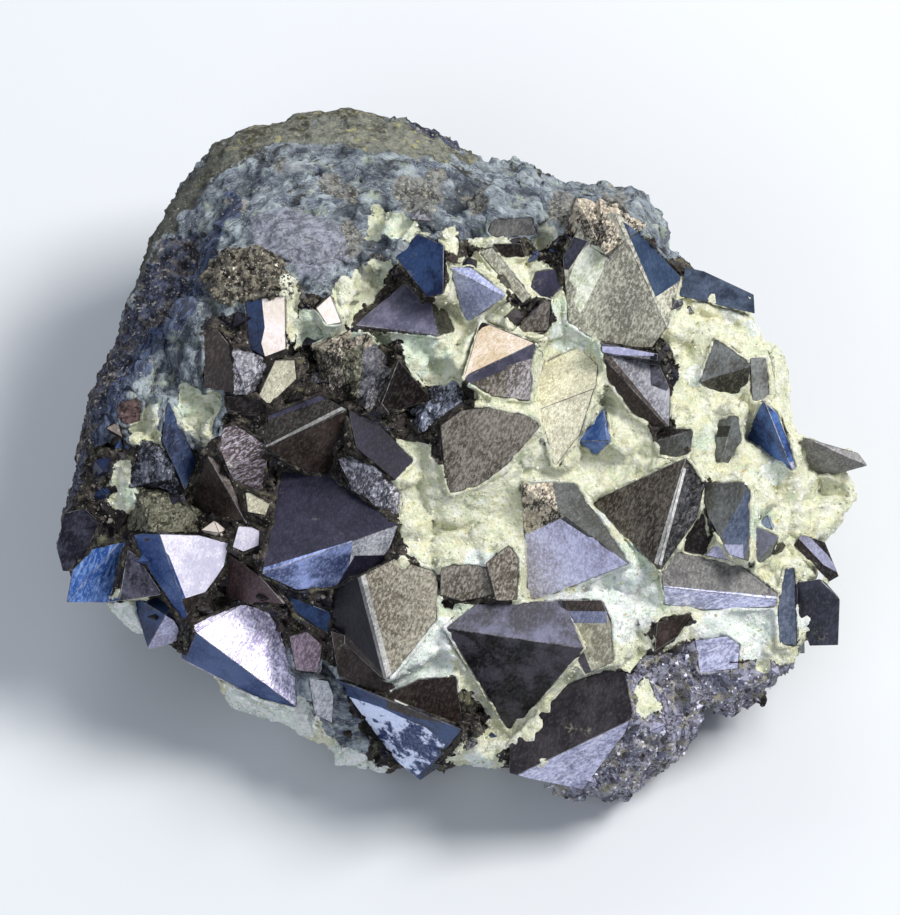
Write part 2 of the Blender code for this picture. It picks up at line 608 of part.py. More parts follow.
def seen_corners(face, out):
    """The three corners of an equal-sided face from its places, the first one standing out most."""
    first, second, third = (np.array(corner) for corner in face)
    one, two = second - first, third - first
    square_one, square_two, across = one @ one, two @ two, one @ two
    half = square_one + square_two - across
    inside = max(0.0, half * half - 3.0 * (square_one * square_two - across * across))
    square_edge = (half + sqrt(inside)) / 1.5
    drop_one = -sqrt(max(0.0, square_edge - square_one))
    drop_two = -sqrt(max(0.0, square_edge - square_two))
    if square_edge / 2.0 < across:
        drop_two = -drop_two
    if drop_one + drop_two > 0.0:
        drop_one, drop_two = -drop_one, -drop_two
    return [place(*first, out), place(*second, out + drop_one), place(*third, out + drop_two)]


def outline_planes(outline):
    """Planes along the way out that keep what lies inside the outline."""
    order = convex_hull_2d([Vector(corner) for corner in outline])
    corners = [np.array(outline[index]) for index in order]
    middle = sum(corners) / len(corners)
    planes = []
    for start, end in zip(corners, corners[1:] + corners[:1]):
        side = end - start
        away = np.array((side[1], -side[0])) / np.linalg.norm(side)
        if away @ (middle - start) > 0.0:
            away = -away
        normal = away[0] * ALONG + away[1] * UP
        planes.append((normal, float(normal @ place(*start, 0.0))))
    return planes


def rooted(planes, along, up):
    """Adds the planes that end a crystal inside the rock and above the ground."""
    floor = rock_out(along, up) - ROOT_DEPTH
    root = (-OUT, float(-OUT @ place(along, up, floor)))
    ground = (np.array((0.0, 0.0, -1.0)), -LOWEST_CRYSTAL)
    return planes + [root, ground]


def middle_of(corners):
    """The mean of some places."""
    return np.mean(np.array(corners), axis=0)


def octahedron_solid(crystal):
    """Planes of an octahedron that shows the given face."""
    corners = seen_corners(crystal.face, crystal.out)
    edge = np.linalg.norm(corners[1] - corners[0])
    normal = np.cross(corners[1] - corners[0], corners[2] - corners[0])
    normal /= np.linalg.norm(normal) * (1.0 if normal @ OUT > 0.0 else -1.0)
    centre = sum(corners) / 3.0 - normal * edge / sqrt(6.0)
    ways = [(corner - centre) / np.linalg.norm(corner - centre) for corner in corners]
    planes = octahedron_planes(centre, octahedron_normals(ways), edge)
    return rooted(planes + outline_planes(crystal.outline), *middle_of(crystal.outline))


def tablet_solid(crystal):
    """Planes of a tablet whose sides spread or draw in below its top, as an octahedron's do."""
    along, up = middle_of(crystal.corners)
    lean_along, lean_up = crystal.lean
    top = OUT - lean_along * ALONG - lean_up * UP
    top /= np.linalg.norm(top)
    middle = place(along, up, crystal.out)
    planes = [(top, float(top @ middle))]
    for normal, reach in outline_planes(crystal.corners):
        side = middle + (reach - float(normal @ middle)) * normal
        tilted = normal + crystal.flare * OUT
        tilted /= np.linalg.norm(tilted)
        planes.append((tilted, float(tilted @ side)))
    return rooted(planes, along, up)


def roof_solid(crystal):
    """Planes of a crystal with two faces that meet in a ridge."""
    start, end = (place(*point) for point in crystal.ridge)
    run = (end - start) / np.linalg.norm(end - start)
    right = np.cross(run, OUT)
    right /= np.linalg.norm(right)
    upward = np.cross(right, run)
    planes = []
    for way, fall in zip((-right, right), crystal.falls):
        normal = (upward + fall * way) / sqrt(1.0 + fall * fall)
        planes.append((normal, float(normal @ start)))
    return rooted(planes + outline_planes(crystal.outline), *middle_of(crystal.outline))


def rough_solids(cluster, random):
    """Plane sets of the small octahedra of a knot."""
    solids = []
    for _ in range(cluster.count):
        scatter = random.uniform(-1.0, 1.0, 2) * cluster.spread * ROUGH_SCATTER
        along, up = np.array(cluster.centre) + scatter
        edge = cluster.edge * random.uniform(*ROUGH_EDGES)
        solids.append(turned_octahedron(along, up, cluster.out - ROUGH_SINK * edge, edge, random))
    return solids


def turned_octahedron(along, up, out, edge, random):
    """Planes of a small octahedron turned at random, ended inside the rock."""
    ways, _ = np.linalg.qr(random.normal(size=(3, 3)))
    planes = octahedron_planes(place(along, up, out), octahedron_normals(ways), edge)
    return rooted(planes, along, up)


def swollen(planes, gap):
    """The same planes moved out by a gap."""
    return [(normal, reach + gap) for normal, reach in planes]


def plane_corners(planes):
    """The corners where three planes meet inside all the others."""
    normals = np.array([normal for normal, _ in planes])
    reaches = np.array([reach for _, reach in planes])
    trios = np.array(list(combinations(range(len(planes)), 3)))
    matrices = normals[trios]
    solvable = np.abs(np.linalg.det(matrices)) > LEAST_TURN
    points = np.linalg.solve(matrices[solvable], reaches[trios[solvable]][..., None])[..., 0]
    inside = (points @ normals.T <= reaches + TOUCH).all(axis=1)
    return points[inside]


def solid_mesh(name, planes):
    """A closed mesh of the solid between the planes."""
    body = bmesh.new()
    for point in plane_corners(planes):
        body.verts.new(Vector(point) * MM)
    bmesh.ops.remove_doubles(body, verts=body.verts, dist=SAME_POINT)
    bmesh.ops.convex_hull(body, input=body.verts)
    loose = [vert for vert in body.verts if not vert.link_faces]
    bmesh.ops.delete(body, geom=loose, context="VERTS")
    bmesh.ops.dissolve_limit(body, angle_limit=SAME_PLANE, verts=body.verts, edges=body.edges)
    bmesh.ops.recalc_face_normals(body, faces=body.faces)
    mesh = bpy.data.meshes.new(name)
    body.to_mesh(mesh)
    body.free()
    return mesh


def material(tone):
    """The finish of this name."""
    if tone in bpy.data.materials:
        return bpy.data.materials[tone]
    colour, rough, metallic = TONES[tone]
    finish = bpy.data.materials.new(tone)
    finish.use_nodes = True
    shader = finish.node_tree.nodes["Principled BSDF"]
    shader.inputs["Base Color"].default_value = (*colour, 1.0)
    shader.inputs["Roughness"].default_value = rough
    shader.inputs["Metallic"].default_value = metallic
    return finish


def add_object(name, mesh, tone):
    """Puts a mesh in the scene under a name, with its finish."""
    thing = bpy.data.objects.new(name, mesh)
    mesh.materials.clear()
    mesh.materials.append(material(tone))
    bpy.context.scene.collection.objects.link(thing)
    return thing


def all_solids():
    """Every crystal as (name, tone, plane sets, name of the crystal it has grown on)."""
    random = np.random.default_rng(ROUGH_SEED)
    solids = [(one.name, one.tone, [octahedron_solid(one)], one.on) for one in OCTAHEDRA]
    solids += [(one.name, one.tone, [roof_solid(one)], one.on) for one in ROOFS]
    solids += [(one.name, one.tone, [tablet_solid(one)], one.on) for one in TABLETS]
    solids += [(one.name, "black", rough_solids(one, random), one.on) for one in ROUGH_CLUSTERS]
    return solids


def touching(first, second):
    """Whether two plane sets come within a gap of each other."""
    both = swollen(first, GAP / 2.0) + swollen(second, GAP / 2.0)
    return len(plane_corners(both)) > 0


def boxes_apart(first, second):
    """Whether the boxes round two sets of corners are clear of each other."""
    clear_above = first.min(axis=0) > second.max(axis=0) + GAP
    clear_below = first.max(axis=0) < second.min(axis=0) - GAP
    return bool(clear_above.any() or clear_below.any())


def stopped_by(part, neighbour):
    """Trims a plane set along the side of its neighbour that takes the least from it.

    A neighbour's last two planes end it in the rock and above the ground, so they stop nothing."""
    corners = plane_corners(part)
    if boxes_apart(corners, plane_corners(neighbour)) or not touching(part, neighbour):
        return part
    losses = [(reach + GAP - (corners @ normal).min(), index)
              for index, (normal, reach) in enumerate(neighbour[:-2])]
    normal, reach = neighbour[min(losses)[1]]
    return part + [(-normal, -(reach + GAP))]


def grown_crystals(solids):
    """Crystals by name, each stopped by those before it, and those grown together joined."""
    groups = {}
    for name, tone, parts, on in solids:
        if on:
            parts = [swollen(part, GROWN_OVERLAP) for part in parts]
        for other, (_, neighbours) in groups.items():
            if other != on:
                for neighbour in neighbours:
                    parts = [stopped_by(part, neighbour) for part in parts]
        parts = [part for part in parts if len(plane_corners(part)) > 3]
        if on:
            groups[on][1].extend(parts)
        elif parts:
            groups[name] = (tone, parts)
    return groups


def joined(name, tone, parts):
    """One solid of several overlapping plane sets."""
    thing = add_object(name, solid_mesh(name, parts[0]), tone)
    if parts[1:]:
        combine(thing, parts[1:], "UNION")
    keep_largest(thing)
    return thing


def combine(thing, parts, operation):
    """Applies one Boolean of an object and the solids of several plane sets."""
    others = bpy.data.collections.new("others")
    for part in parts:
        others.objects.link(bpy.data.objects.new("other", solid_mesh("other", part)))
    bpy.context.scene.collection.children.link(others)
    modifier = thing.modifiers.new("combine", "BOOLEAN")
    modifier.operation = operation
    modifier.solver = "EXACT"
    modifier.operand_type = "COLLECTION"
    modifier.collection = others
    apply_modifiers(thing)
    for other in list(others.objects):
        bpy.data.objects.remove(other)
    bpy.data.collections.remove(others)


def apply_modifiers(thing):
    """Replaces an object's mesh with its evaluated mesh."""
    graph = bpy.context.evaluated_depsgraph_get()
    mesh = bpy.data.meshes.new_from_object(thing.evaluated_get(graph))
    thing.modifiers.clear()
    thing.data = mesh


def rock_lump():
    """The lump of rock, before the crystals' pockets are cut."""
    body = bmesh.new()
    bmesh.ops.create_icosphere(body, subdivisions=SPHERE_STEPS, radius=1.0)
    for vert in body.verts:
        vert.co = Vector(rock_point(vert.co)) * MM
    mesh = bpy.data.meshes.new("matrix_rock")
    body.to_mesh(mesh)
    body.free()
    rock = add_object("matrix_rock", mesh, "rock")
    coarser = rock.modifiers.new("coarser", "DECIMATE")
    coarser.ratio = ROCK_TRIANGLES / len(mesh.polygons)
    apply_modifiers(rock)
    flatten_base(rock.data)
    return rock


def flatten_base(mesh):
    """Cuts the lump off flat on the ground."""
    body = bmesh.new()
    body.from_mesh(mesh)
    everything = body.verts[:] + body.edges[:] + body.faces[:]
    bmesh.ops.bisect_plane(
        body, geom=everything, plane_co=(0, 0, 0), plane_no=(0, 0, -1), clear_outer=True
    )
    rim = [edge for edge in body.edges if edge.is_boundary]
    bmesh.ops.edgeloop_fill(body, edges=rim)
    bmesh.ops.recalc_face_normals(body, faces=body.faces)
    body.to_mesh(mesh)
    body.free()


def druse_solids():
    """Plane sets of the small octahedra along the lower right edge."""
    random = np.random.default_rng(DRUSE_SEED)
    path = np.array(DRUSE_PATH)
    solids = []
    for _ in range(DRUSE_COUNT):
        step = random.uniform(0.0, len(path) - 1.001)
        start = int(step)
        centre = path[start] + (step - start) * (path[start + 1] - path[start])
        along, up = centre + random.uniform(-1.0, 1.0, 2) * DRUSE_SPREAD
        edge = random.uniform(*DRUSE_EDGES)
        solids.append(turned_octahedron(along, up, rock_out(along, up), edge, random))
    return solids


def keep_largest(thing):
    """Drops the crumbs that the pockets leave loose."""
    body = bmesh.new()
    body.from_mesh(thing.data)
    left = set(body.verts)
    islands = []
    while left:
        island, front = set(), [left.pop()]
        while front:
            vert = front.pop()
            island.add(vert)
            near = [edge.other_vert(vert) for edge in vert.link_edges]
            front += [other for other in near if other in left]
            left.difference_update(near)
        islands.append(island)
    islands.sort(key=len)
    crumbs = [vert for island in islands[:-1] for vert in island]
    bmesh.ops.delete(body, geom=crumbs, context="VERTS")
    body.to_mesh(thing.data)
    body.free()


def build():
    """Clears the scene and makes the specimen."""
    for thing in list(bpy.data.objects):
        bpy.data.objects.remove(thing)
    groups = grown_crystals(all_solids())
    rock = rock_lump()
    combine(rock, druse_solids(), "UNION")
    pockets = [swollen(part, GAP) for _, parts in groups.values() for part in parts]
    combine(rock, pockets, "DIFFERENCE")
    keep_largest(rock)
    for name, (tone, parts) in groups.items():
        joined(name, tone, parts)


build()
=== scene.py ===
"""Magnetite specimen, seen from above its crystal face.

One lump of ore and pale matrix carries the octahedral crystals. A place on the crystal face
is given as (along, up) in millimetres on the leaning plane that the camera looks at, and
"out" is the height above that plane.
"""

import json
import logging
from dataclasses import dataclass, field
from enum import Enum
from math import cos, pi, radians, sin

import bmesh
import bpy
import numpy as np
from mathutils import Euler, Matrix, Vector, noise
from mathutils.bvhtree import BVHTree
from mathutils.kdtree import KDTree

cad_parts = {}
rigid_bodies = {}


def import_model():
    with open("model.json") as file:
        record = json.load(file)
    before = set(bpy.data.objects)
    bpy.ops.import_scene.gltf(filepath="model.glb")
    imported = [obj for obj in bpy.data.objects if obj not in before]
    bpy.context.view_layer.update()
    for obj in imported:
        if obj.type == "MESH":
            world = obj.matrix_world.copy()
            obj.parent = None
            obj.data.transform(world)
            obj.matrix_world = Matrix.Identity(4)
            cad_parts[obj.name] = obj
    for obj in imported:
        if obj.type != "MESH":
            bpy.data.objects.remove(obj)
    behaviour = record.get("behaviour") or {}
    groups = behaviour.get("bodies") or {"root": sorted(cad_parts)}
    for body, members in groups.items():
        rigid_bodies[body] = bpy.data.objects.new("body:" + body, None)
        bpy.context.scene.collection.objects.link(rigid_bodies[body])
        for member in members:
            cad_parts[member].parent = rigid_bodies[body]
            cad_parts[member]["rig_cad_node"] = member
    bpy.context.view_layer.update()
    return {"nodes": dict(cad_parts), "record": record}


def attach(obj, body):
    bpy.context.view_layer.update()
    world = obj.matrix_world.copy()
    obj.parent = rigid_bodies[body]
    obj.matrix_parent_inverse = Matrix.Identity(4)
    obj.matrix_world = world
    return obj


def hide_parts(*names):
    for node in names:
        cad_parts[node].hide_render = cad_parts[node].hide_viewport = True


MM = 0.001
LOG = logging.getLogger("specimen")


def tint(red: float, green: float, blue: float) -> tuple:
    """Turns a screen colour of 0 to 255 into the linear colour of a shader.

    Args:
        red: Red on the screen.
        green: Green on the screen.
        blue: Blue on the screen.

    Returns:
        The linear colour with an alpha of 1.
    """
    parts = [value / 255 for value in (red, green, blue)]
    linear = [part / 12.92 if part <= 0.04045 else ((part + 0.055) / 1.055) ** 2.4 for part in parts]
    return (*linear, 1.0)


@dataclass(frozen=True)
class FaceFrame:
    """The leaning plane through the middle of the lump.

    Args:
        lean: Angle of the plane's outward direction above the floor, in degrees.
        height: Height of the plane's middle above the floor, in millimetres.
    """

    lean: float = 65.0
    height: float = 21.0

    @property
    def axes(self) -> np.ndarray:
        """The along, up and out directions as three rows."""
        angle = radians(self.lean)
        return np.array(((1, 0, 0), (0, sin(angle), cos(angle)), (0, -cos(angle), sin(angle))))

    def place(self, along: float, up: float, out: float) -> Vector:
        """The point in metres at this place in millimetres."""
        point = np.array((along, up, out)) @ self.axes + (0, 0, self.height)
        return Vector(point * MM)

    def seen(self, points: np.ndarray) -> np.ndarray:
        """The along, up and out of points that are given in metres."""
        return (np.asarray(points, float) / MM - (0, 0, self.height)) @ self.axes.T


def placed(name: str, data: bpy.types.ID) -> bpy.types.Object:
    """Adds an object to the scene."""
    made = bpy.data.objects.new(name, data)
    bpy.context.scene.collection.objects.link(made)
    return made


FACE = FaceFrame()
ALONG, UP, OUT = (Vector(axis) for axis in FACE.axes)
# Where in the noise the three parts of a chip's tilt are read.
TILT_SHIFTS = (Vector((11.7, 3.1, 7.9)), Vector((4.3, 19.2, 2.6)), Vector((8.8, 6.4, 23.5)))


def distance_inside(points: np.ndarray, outline: tuple) -> np.ndarray:
    """How far each place lies inside an outline, and below zero outside it.

    Args:
        points: Places as (along, up) rows.
        outline: The outline's corners.

    Returns:
        One distance in millimetres for each place.
    """
    corners = np.array(outline, float)
    away = np.full(len(points), np.inf)
    inside = np.zeros(len(points), bool)
    for start, end in zip(corners, np.roll(corners, -1, axis=0)):
        edge = end - start
        offset = points - start
        share = np.clip(offset @ edge / (edge @ edge), 0, 1)
        away = np.minimum(away, np.linalg.norm(offset - share[:, None] * edge, axis=1))
        spans = (start[1] > points[:, 1]) != (end[1] > points[:, 1])
        rise = edge[1] if abs(edge[1]) > 1e-9 else 1e-9
        crossing = start[0] + (points[:, 1] - start[1]) * edge[0] / rise
        inside ^= spans & (points[:, 0] < crossing)
    return np.where(inside, away, -away)


def smooth_step(value: np.ndarray, low: float, high: float) -> np.ndarray:
    """0 below low, 1 above high, and an even curve between them."""
    share = np.clip((value - low) / (high - low), 0, 1)
    return share * share * (3 - 2 * share)


class Shade:
    """A socket of a shader or geometry tree that can be used as a number."""

    def __init__(self, painter: "Painter", socket: bpy.types.NodeSocket):
        """Keeps the socket with the painter that makes its nodes."""
        self.painter = painter
        self.socket = socket

    def math(self, operation: str, *values: object) -> "Shade":
        """One math node with these values, which may be shades."""
        return self.painter.math(operation, *values)

    def __add__(self, other: object) -> "Shade":
        """This plus the other."""
        return self.math("ADD", self, other)

    __radd__ = __add__

    def __sub__(self, other: object) -> "Shade":
        """This less the other."""
        return self.math("SUBTRACT", self, other)

    def __rsub__(self, other: object) -> "Shade":
        """The other less this."""
        return self.math("SUBTRACT", other, self)

    def __mul__(self, other: object) -> "Shade":
        """This times the other."""
        return self.math("MULTIPLY", self, other)

    __rmul__ = __mul__

    def between(self, low: float, high: float) -> "Shade":
        """0 below low, 1 above high, and an even curve between them."""
        inputs = {"Value": self, "From Min": low, "From Max": high}
        kind = {"interpolation_type": "SMOOTHSTEP"}
        return self.painter.result("Result", "ShaderNodeMapRange", kind, inputs)


class Painter:
    """Makes the nodes of one tree."""

    def __init__(self, tree: bpy.types.NodeTree):
        """Starts with an empty tree."""
        self.tree = tree
        tree.nodes.clear()

    def shade(self, node: bpy.types.Node, name: str) -> Shade:
        """One output of a node, found by its name among those in use."""
        outputs = [socket for socket in node.outputs if socket.name == name and socket.enabled]
        return Shade(self, outputs[0])

    def node(self, kind: str, settings: dict | None = None, inputs: dict | None = None) -> bpy.types.Node:
        """One node of any type.

        Args:
            kind: The node's type.
            settings: Attributes that are set before the sockets.
            inputs: Socket names or numbers with their values or shades.

        Returns:
            The node.
        """
        made = self.tree.nodes.new(kind)
        for name, value in (settings or {}).items():
            setattr(made, name, value)
        for name, value in (inputs or {}).items():
            self.fill(self.find(made, name), value)
        return made

    def result(
        self, output: str, kind: str, settings: dict | None = None, inputs: dict | None = None
    ) -> Shade:
        """One output of a new node."""
        return self.shade(self.node(kind, settings, inputs), output)

    @staticmethod
    def find(node: bpy.types.Node, name: object) -> bpy.types.NodeSocket:
        """An input by its number or its name among those in use."""
        if isinstance(name, int):
            return node.inputs[name]
        return [socket for socket in node.inputs if socket.name == name and socket.enabled][0]

    def fill(self, socket: bpy.types.NodeSocket, value: object) -> None:
        """Links a shade to a socket, or sets its value."""
        if isinstance(value, Shade):
            self.tree.links.new(value.socket, socket)
        else:
            socket.default_value = value

    def math(self, operation: str, *values: object) -> Shade:
        """One math node."""
        return self.result("Value", "ShaderNodeMath", {"operation": operation}, dict(enumerate(values)))

    def vector_math(self, operation: str, *values: object, output: str = "Vector") -> Shade:
        """One vector math node."""
        inputs = dict(enumerate(values))
        return self.result(output, "ShaderNodeVectorMath", {"operation": operation}, inputs)

    def dot(self, place: Shade, axis: object) -> Shade:
        """How far a place lies along an axis."""
        return self.vector_math("DOT_PRODUCT", place, tuple(axis), output="Value")

    def vector(self, *parts: Shade) -> Shade:
        """A vector of three numbers."""
        return self.result("Vector", "ShaderNodeCombineXYZ", {}, dict(zip("XYZ", parts)))

    def mix(self, factor: object, first: object, second: object, blend: str = "MIX") -> Shade:
        """A mix of two colours."""
        inputs = {"Factor": factor, "A": first, "B": second}
        return self.result("Result", "ShaderNodeMix", {"data_type": "RGBA", "blend_type": blend}, inputs)

    def attribute(self, name: str) -> Shade:
        """A number that is kept on the mesh's points."""
        return self.result("Fac", "ShaderNodeAttribute", {"attribute_name": name})

    def noise(self, place: Shade, size: float, detail: float = 3.0, rough: float = 0.55) -> Shade:
        """Noise from 0 to 1 with lumps of this size in millimetres."""
        inputs = {"Vector": place, "Scale": 1 / size, "Detail": detail, "Roughness": rough}
        return self.result("Fac", "ShaderNodeTexNoise", {}, inputs)

    def cells(self, place: Shade, size: float, output: str = "Distance") -> Shade:
        """Cells of this size in millimetres."""
        return self.result(output, "ShaderNodeTexVoronoi", {}, {"Vector": place, "Scale": 1 / size})

    def cell_value(self, place: Shade, size: float) -> Shade:
        """One value from 0 to 1 for each cell of this size."""
        return self.dot(self.cells(place, size, "Color"), (1.0, 0.0, 0.0))

    def bump(self, height: Shade, strength: float, depth: float) -> Shade:
        """A normal that follows a height.

        Args:
            height: The height from 0 to 1.
            strength: How much of it shows.
            depth: What a height of 1 stands for, in millimetres.

        Returns:
            The normal.
        """
        inputs = {"Strength": strength, "Distance": depth * MM, "Height": height}
        return self.result("Normal", "ShaderNodeBump", {}, inputs)

    def place_mm(self) -> Shade:
        """The place on the piece in millimetres."""
        place = self.result("Object", "ShaderNodeTexCoord")
        return self.vector_math("MULTIPLY", place, (1 / MM, 1 / MM, 1 / MM))

    def shifted(self, place: Shade, by: float) -> Shade:
        """The place moved this many millimetres along each axis."""
        return self.vector_math("ADD", place, (by, by, by))

    def stretched(self, place: Shade, turn: float, scale: tuple) -> Shade:
        """Face-plane coordinates, turned about the outward axis and scaled.

        Args:
            place: The place in millimetres.
            turn: Angle of the first axis on the face, in degrees.
            scale: Scale of the two axes on the face and of the one out of it.

        Returns:
            The coordinates.
        """
        first = ALONG * cos(radians(turn)) + UP * sin(radians(turn))
        second = UP * cos(radians(turn)) - ALONG * sin(radians(turn))
        axes = zip((first, second, OUT), scale)
        return self.vector(*(self.dot(place, axis * size) for axis, size in axes))

    def surface(
        self, colour: object, rough: object, metallic: object,
        normal: Shade | None = None, specular: float = 0.5,
    ) -> None:
        """Ends the tree with one surface shader."""
        inputs = {
            "Base Color": colour, "Roughness": rough, "Metallic": metallic, "Specular IOR Level": specular,
        }
        if normal is not None:
            inputs["Normal"] = normal
        shader = self.result("BSDF", "ShaderNodeBsdfPrincipled", {}, inputs)
        self.node("ShaderNodeOutputMaterial", {}, {"Surface": shader})


def new_material(name: str) -> tuple:
    """A material and the painter of its tree."""
    made = bpy.data.materials.new(name)
    made.use_nodes = True
    return made, Painter(made.node_tree)


@dataclass(frozen=True)
class Finish:
    """How one kind of crystal face looks.

    Args:
        deep: Colour of its darker patches, on a screen.
        pale: Colour of its lighter patches, on a screen.
        speck: Colour of its specks, on a screen.
        specks: Share of the face that the specks cover.
        grain: Share of its mottling that is fine.
        rough: Roughness.
        metallic: How metallic it is.
        relief: Height of its small relief, in millimetres.
        patch: Size of its patches, in millimetres.
        streak: Angle of its streaks on the face, in degrees, or None.
    """

    deep: tuple
    pale: tuple
    speck: tuple
    specks: float = 0.1
    grain: float = 0.4
    rough: float = 0.4
    metallic: float = 0.2
    relief: float = 0.02
    patch: float = 1.6
    streak: float | None = None


class Look(Enum):
    """The kinds of crystal face."""

    SLATE = Finish((48, 47, 66), (66, 63, 85), (116, 114, 136), 0.03, 0.2, 0.34, 0.4)
    MATT_SLATE = Finish((54, 52, 66), (74, 71, 90), (112, 108, 124), 0.05, 0.4, 0.8, 0.0)
    SLATE_MID = Finish((66, 65, 82), (94, 92, 110), (130, 128, 146), 0.04, 0.2, 0.36, 0.3)
    SLATE_PALE = Finish((90, 95, 120), (124, 129, 156), (168, 170, 190), 0.06, 0.4, 0.36, 0.3)
    GREY_SLATE = Finish((68, 66, 72), (116, 116, 138), (160, 160, 178), 0.06, 0.2, 0.34, 0.3, 0.01, 4.0)
    UMBER = Finish((36, 27, 22), (64, 53, 50), (110, 98, 92), 0.05, 0.4, 0.34, 0.3)
    VEINED_UMBER = Finish(
        (50, 40, 40), (100, 90, 94), (164, 158, 168), 0.20, 0.7, 0.4, 0.2, 0.05, 1.2, 25.0
    )
    DULL_UMBER = Finish((44, 35, 30), (104, 96, 88), (146, 140, 134), 0.14, 0.7, 0.4, 0.2, 0.05, 1.4)
    SPECKLED = Finish((82, 73, 62), (160, 152, 141), (196, 190, 180), 0.14, 0.7, 0.45, 0.1, 0.06, 1.4)
    BLACK = Finish((18, 10, 9), (36, 27, 27), (90, 84, 84), 0.04, 0.5, 0.32, 0.3, 0.04)
    FROSTED_BLACK = Finish((11, 7, 7), (84, 79, 90), (128, 126, 140), 0.04, 0.22, 0.36, 0.2, 0.08, 2.8)
    ROUGH = Finish((34, 30, 26), (122, 114, 102), (184, 178, 166), 0.08, 0.4, 0.34, 0.2, 0.3, 1.3)
    ROUGH_NAVY = Finish((24, 27, 38), (84, 88, 100), (156, 156, 160), 0.08, 0.4, 0.32, 0.3, 0.3, 1.5)
    ROUGH_OLIVE = Finish((32, 30, 23), (124, 122, 102), (196, 194, 174), 0.12, 0.5, 0.36, 0.2, 0.3, 1.1)
    ROUGH_GREY = Finish((62, 60, 66), (138, 137, 146), (196, 196, 204), 0.10, 0.45, 0.34, 0.2, 0.26, 1.2)
    OLIVE = Finish((100, 90, 76), (180, 174, 156), (214, 208, 186), 0.12, 0.75, 0.45, 0.1, 0.07, 1.2)
    OLIVE_GREY = Finish((74, 74, 70), (114, 118, 118), (150, 152, 150), 0.08, 0.4, 0.4, 0.2, 0.03, 2.4)
    OLIVE_DARK = Finish((34, 34, 30), (72, 70, 60), (116, 114, 100), 0.10, 0.5, 0.4, 0.2, 0.04)
    KHAKI = Finish((120, 116, 100), (182, 180, 160), (214, 212, 196), 0.12, 0.5, 0.55, 0.0, 0.05)
    GREY_BROWN = Finish((112, 109, 99), (188, 186, 168), (220, 218, 204), 0.10, 0.7, 0.42, 0.1, 0.06, 1.3)
    DULL_GREY = Finish((98, 96, 98), (144, 142, 140), (180, 178, 176), 0.08, 0.5, 0.4, 0.1, 0.03, 1.8)
    # CREAM, BRIGHT_CREAM, FROST, WHITE and BLUSH: partly the faces' own pale tone and partly painted
    # highlight, the glare of faces that turn to the light.
    CREAM = Finish((176, 172, 150), (236, 232, 208), (120, 108, 84), 0.08, 0.7, 0.5, 0.0, 0.05, 0.9)
    BRIGHT_CREAM = Finish(
        (214, 194, 164), (253, 240, 232), (186, 150, 108), 0.10, 0.7, 0.45, 0.0, 0.04, 0.9
    )
    FROST = Finish((150, 142, 172), (228, 222, 246), (252, 248, 255), 0.14, 0.8, 0.45, 0.0, 0.2, 0.8, 60.0)
    WHITE = Finish((200, 196, 216), (250, 244, 254), (176, 176, 202), 0.08, 0.6, 0.4, 0.0, 0.03, 1.4)
    BLUSH = Finish((234, 222, 210), (255, 242, 242), (206, 186, 170), 0.06, 0.5, 0.45, 0.0, 0.03, 1.4)
    LAVENDER = Finish((134, 130, 154), (180, 180, 210), (210, 210, 232), 0.10, 0.5, 0.4, 0.1, 0.04, 1.2)
    # DUSK: its blue is partly a tarnish and partly a painted reflection of blue surroundings.
    DUSK = Finish((52, 62, 96), (136, 150, 198), (176, 186, 222), 0.06, 0.3, 0.34, 0.3, 0.02, 3.0)
    PALE_LAVENDER = Finish((126, 126, 138), (200, 202, 208), (230, 230, 236), 0.10, 0.6, 0.4, 0.1, 0.04)
    BRIGHT_LAVENDER = Finish((168, 168, 206), (212, 212, 242), (244, 244, 255), 0.06, 0.3, 0.36, 0.1)
    LAVENDER_GRAIN = Finish(
        (120, 122, 150), (180, 182, 212), (222, 222, 240), 0.12, 0.5, 0.4, 0.1, 0.08, 0.8, 25.0
    )
    MAUVE = Finish((96, 88, 82), (176, 170, 172), (214, 208, 210), 0.14, 0.75, 0.45, 0.1, 0.05, 0.9)
    PLUM = Finish((84, 70, 82), (128, 112, 128), (170, 156, 170), 0.12, 0.7, 0.45, 0.1, 0.06, 0.9)
    NIGHT = Finish((22, 22, 33), (54, 54, 68), (92, 92, 108), 0.04, 0.3, 0.32, 0.4)
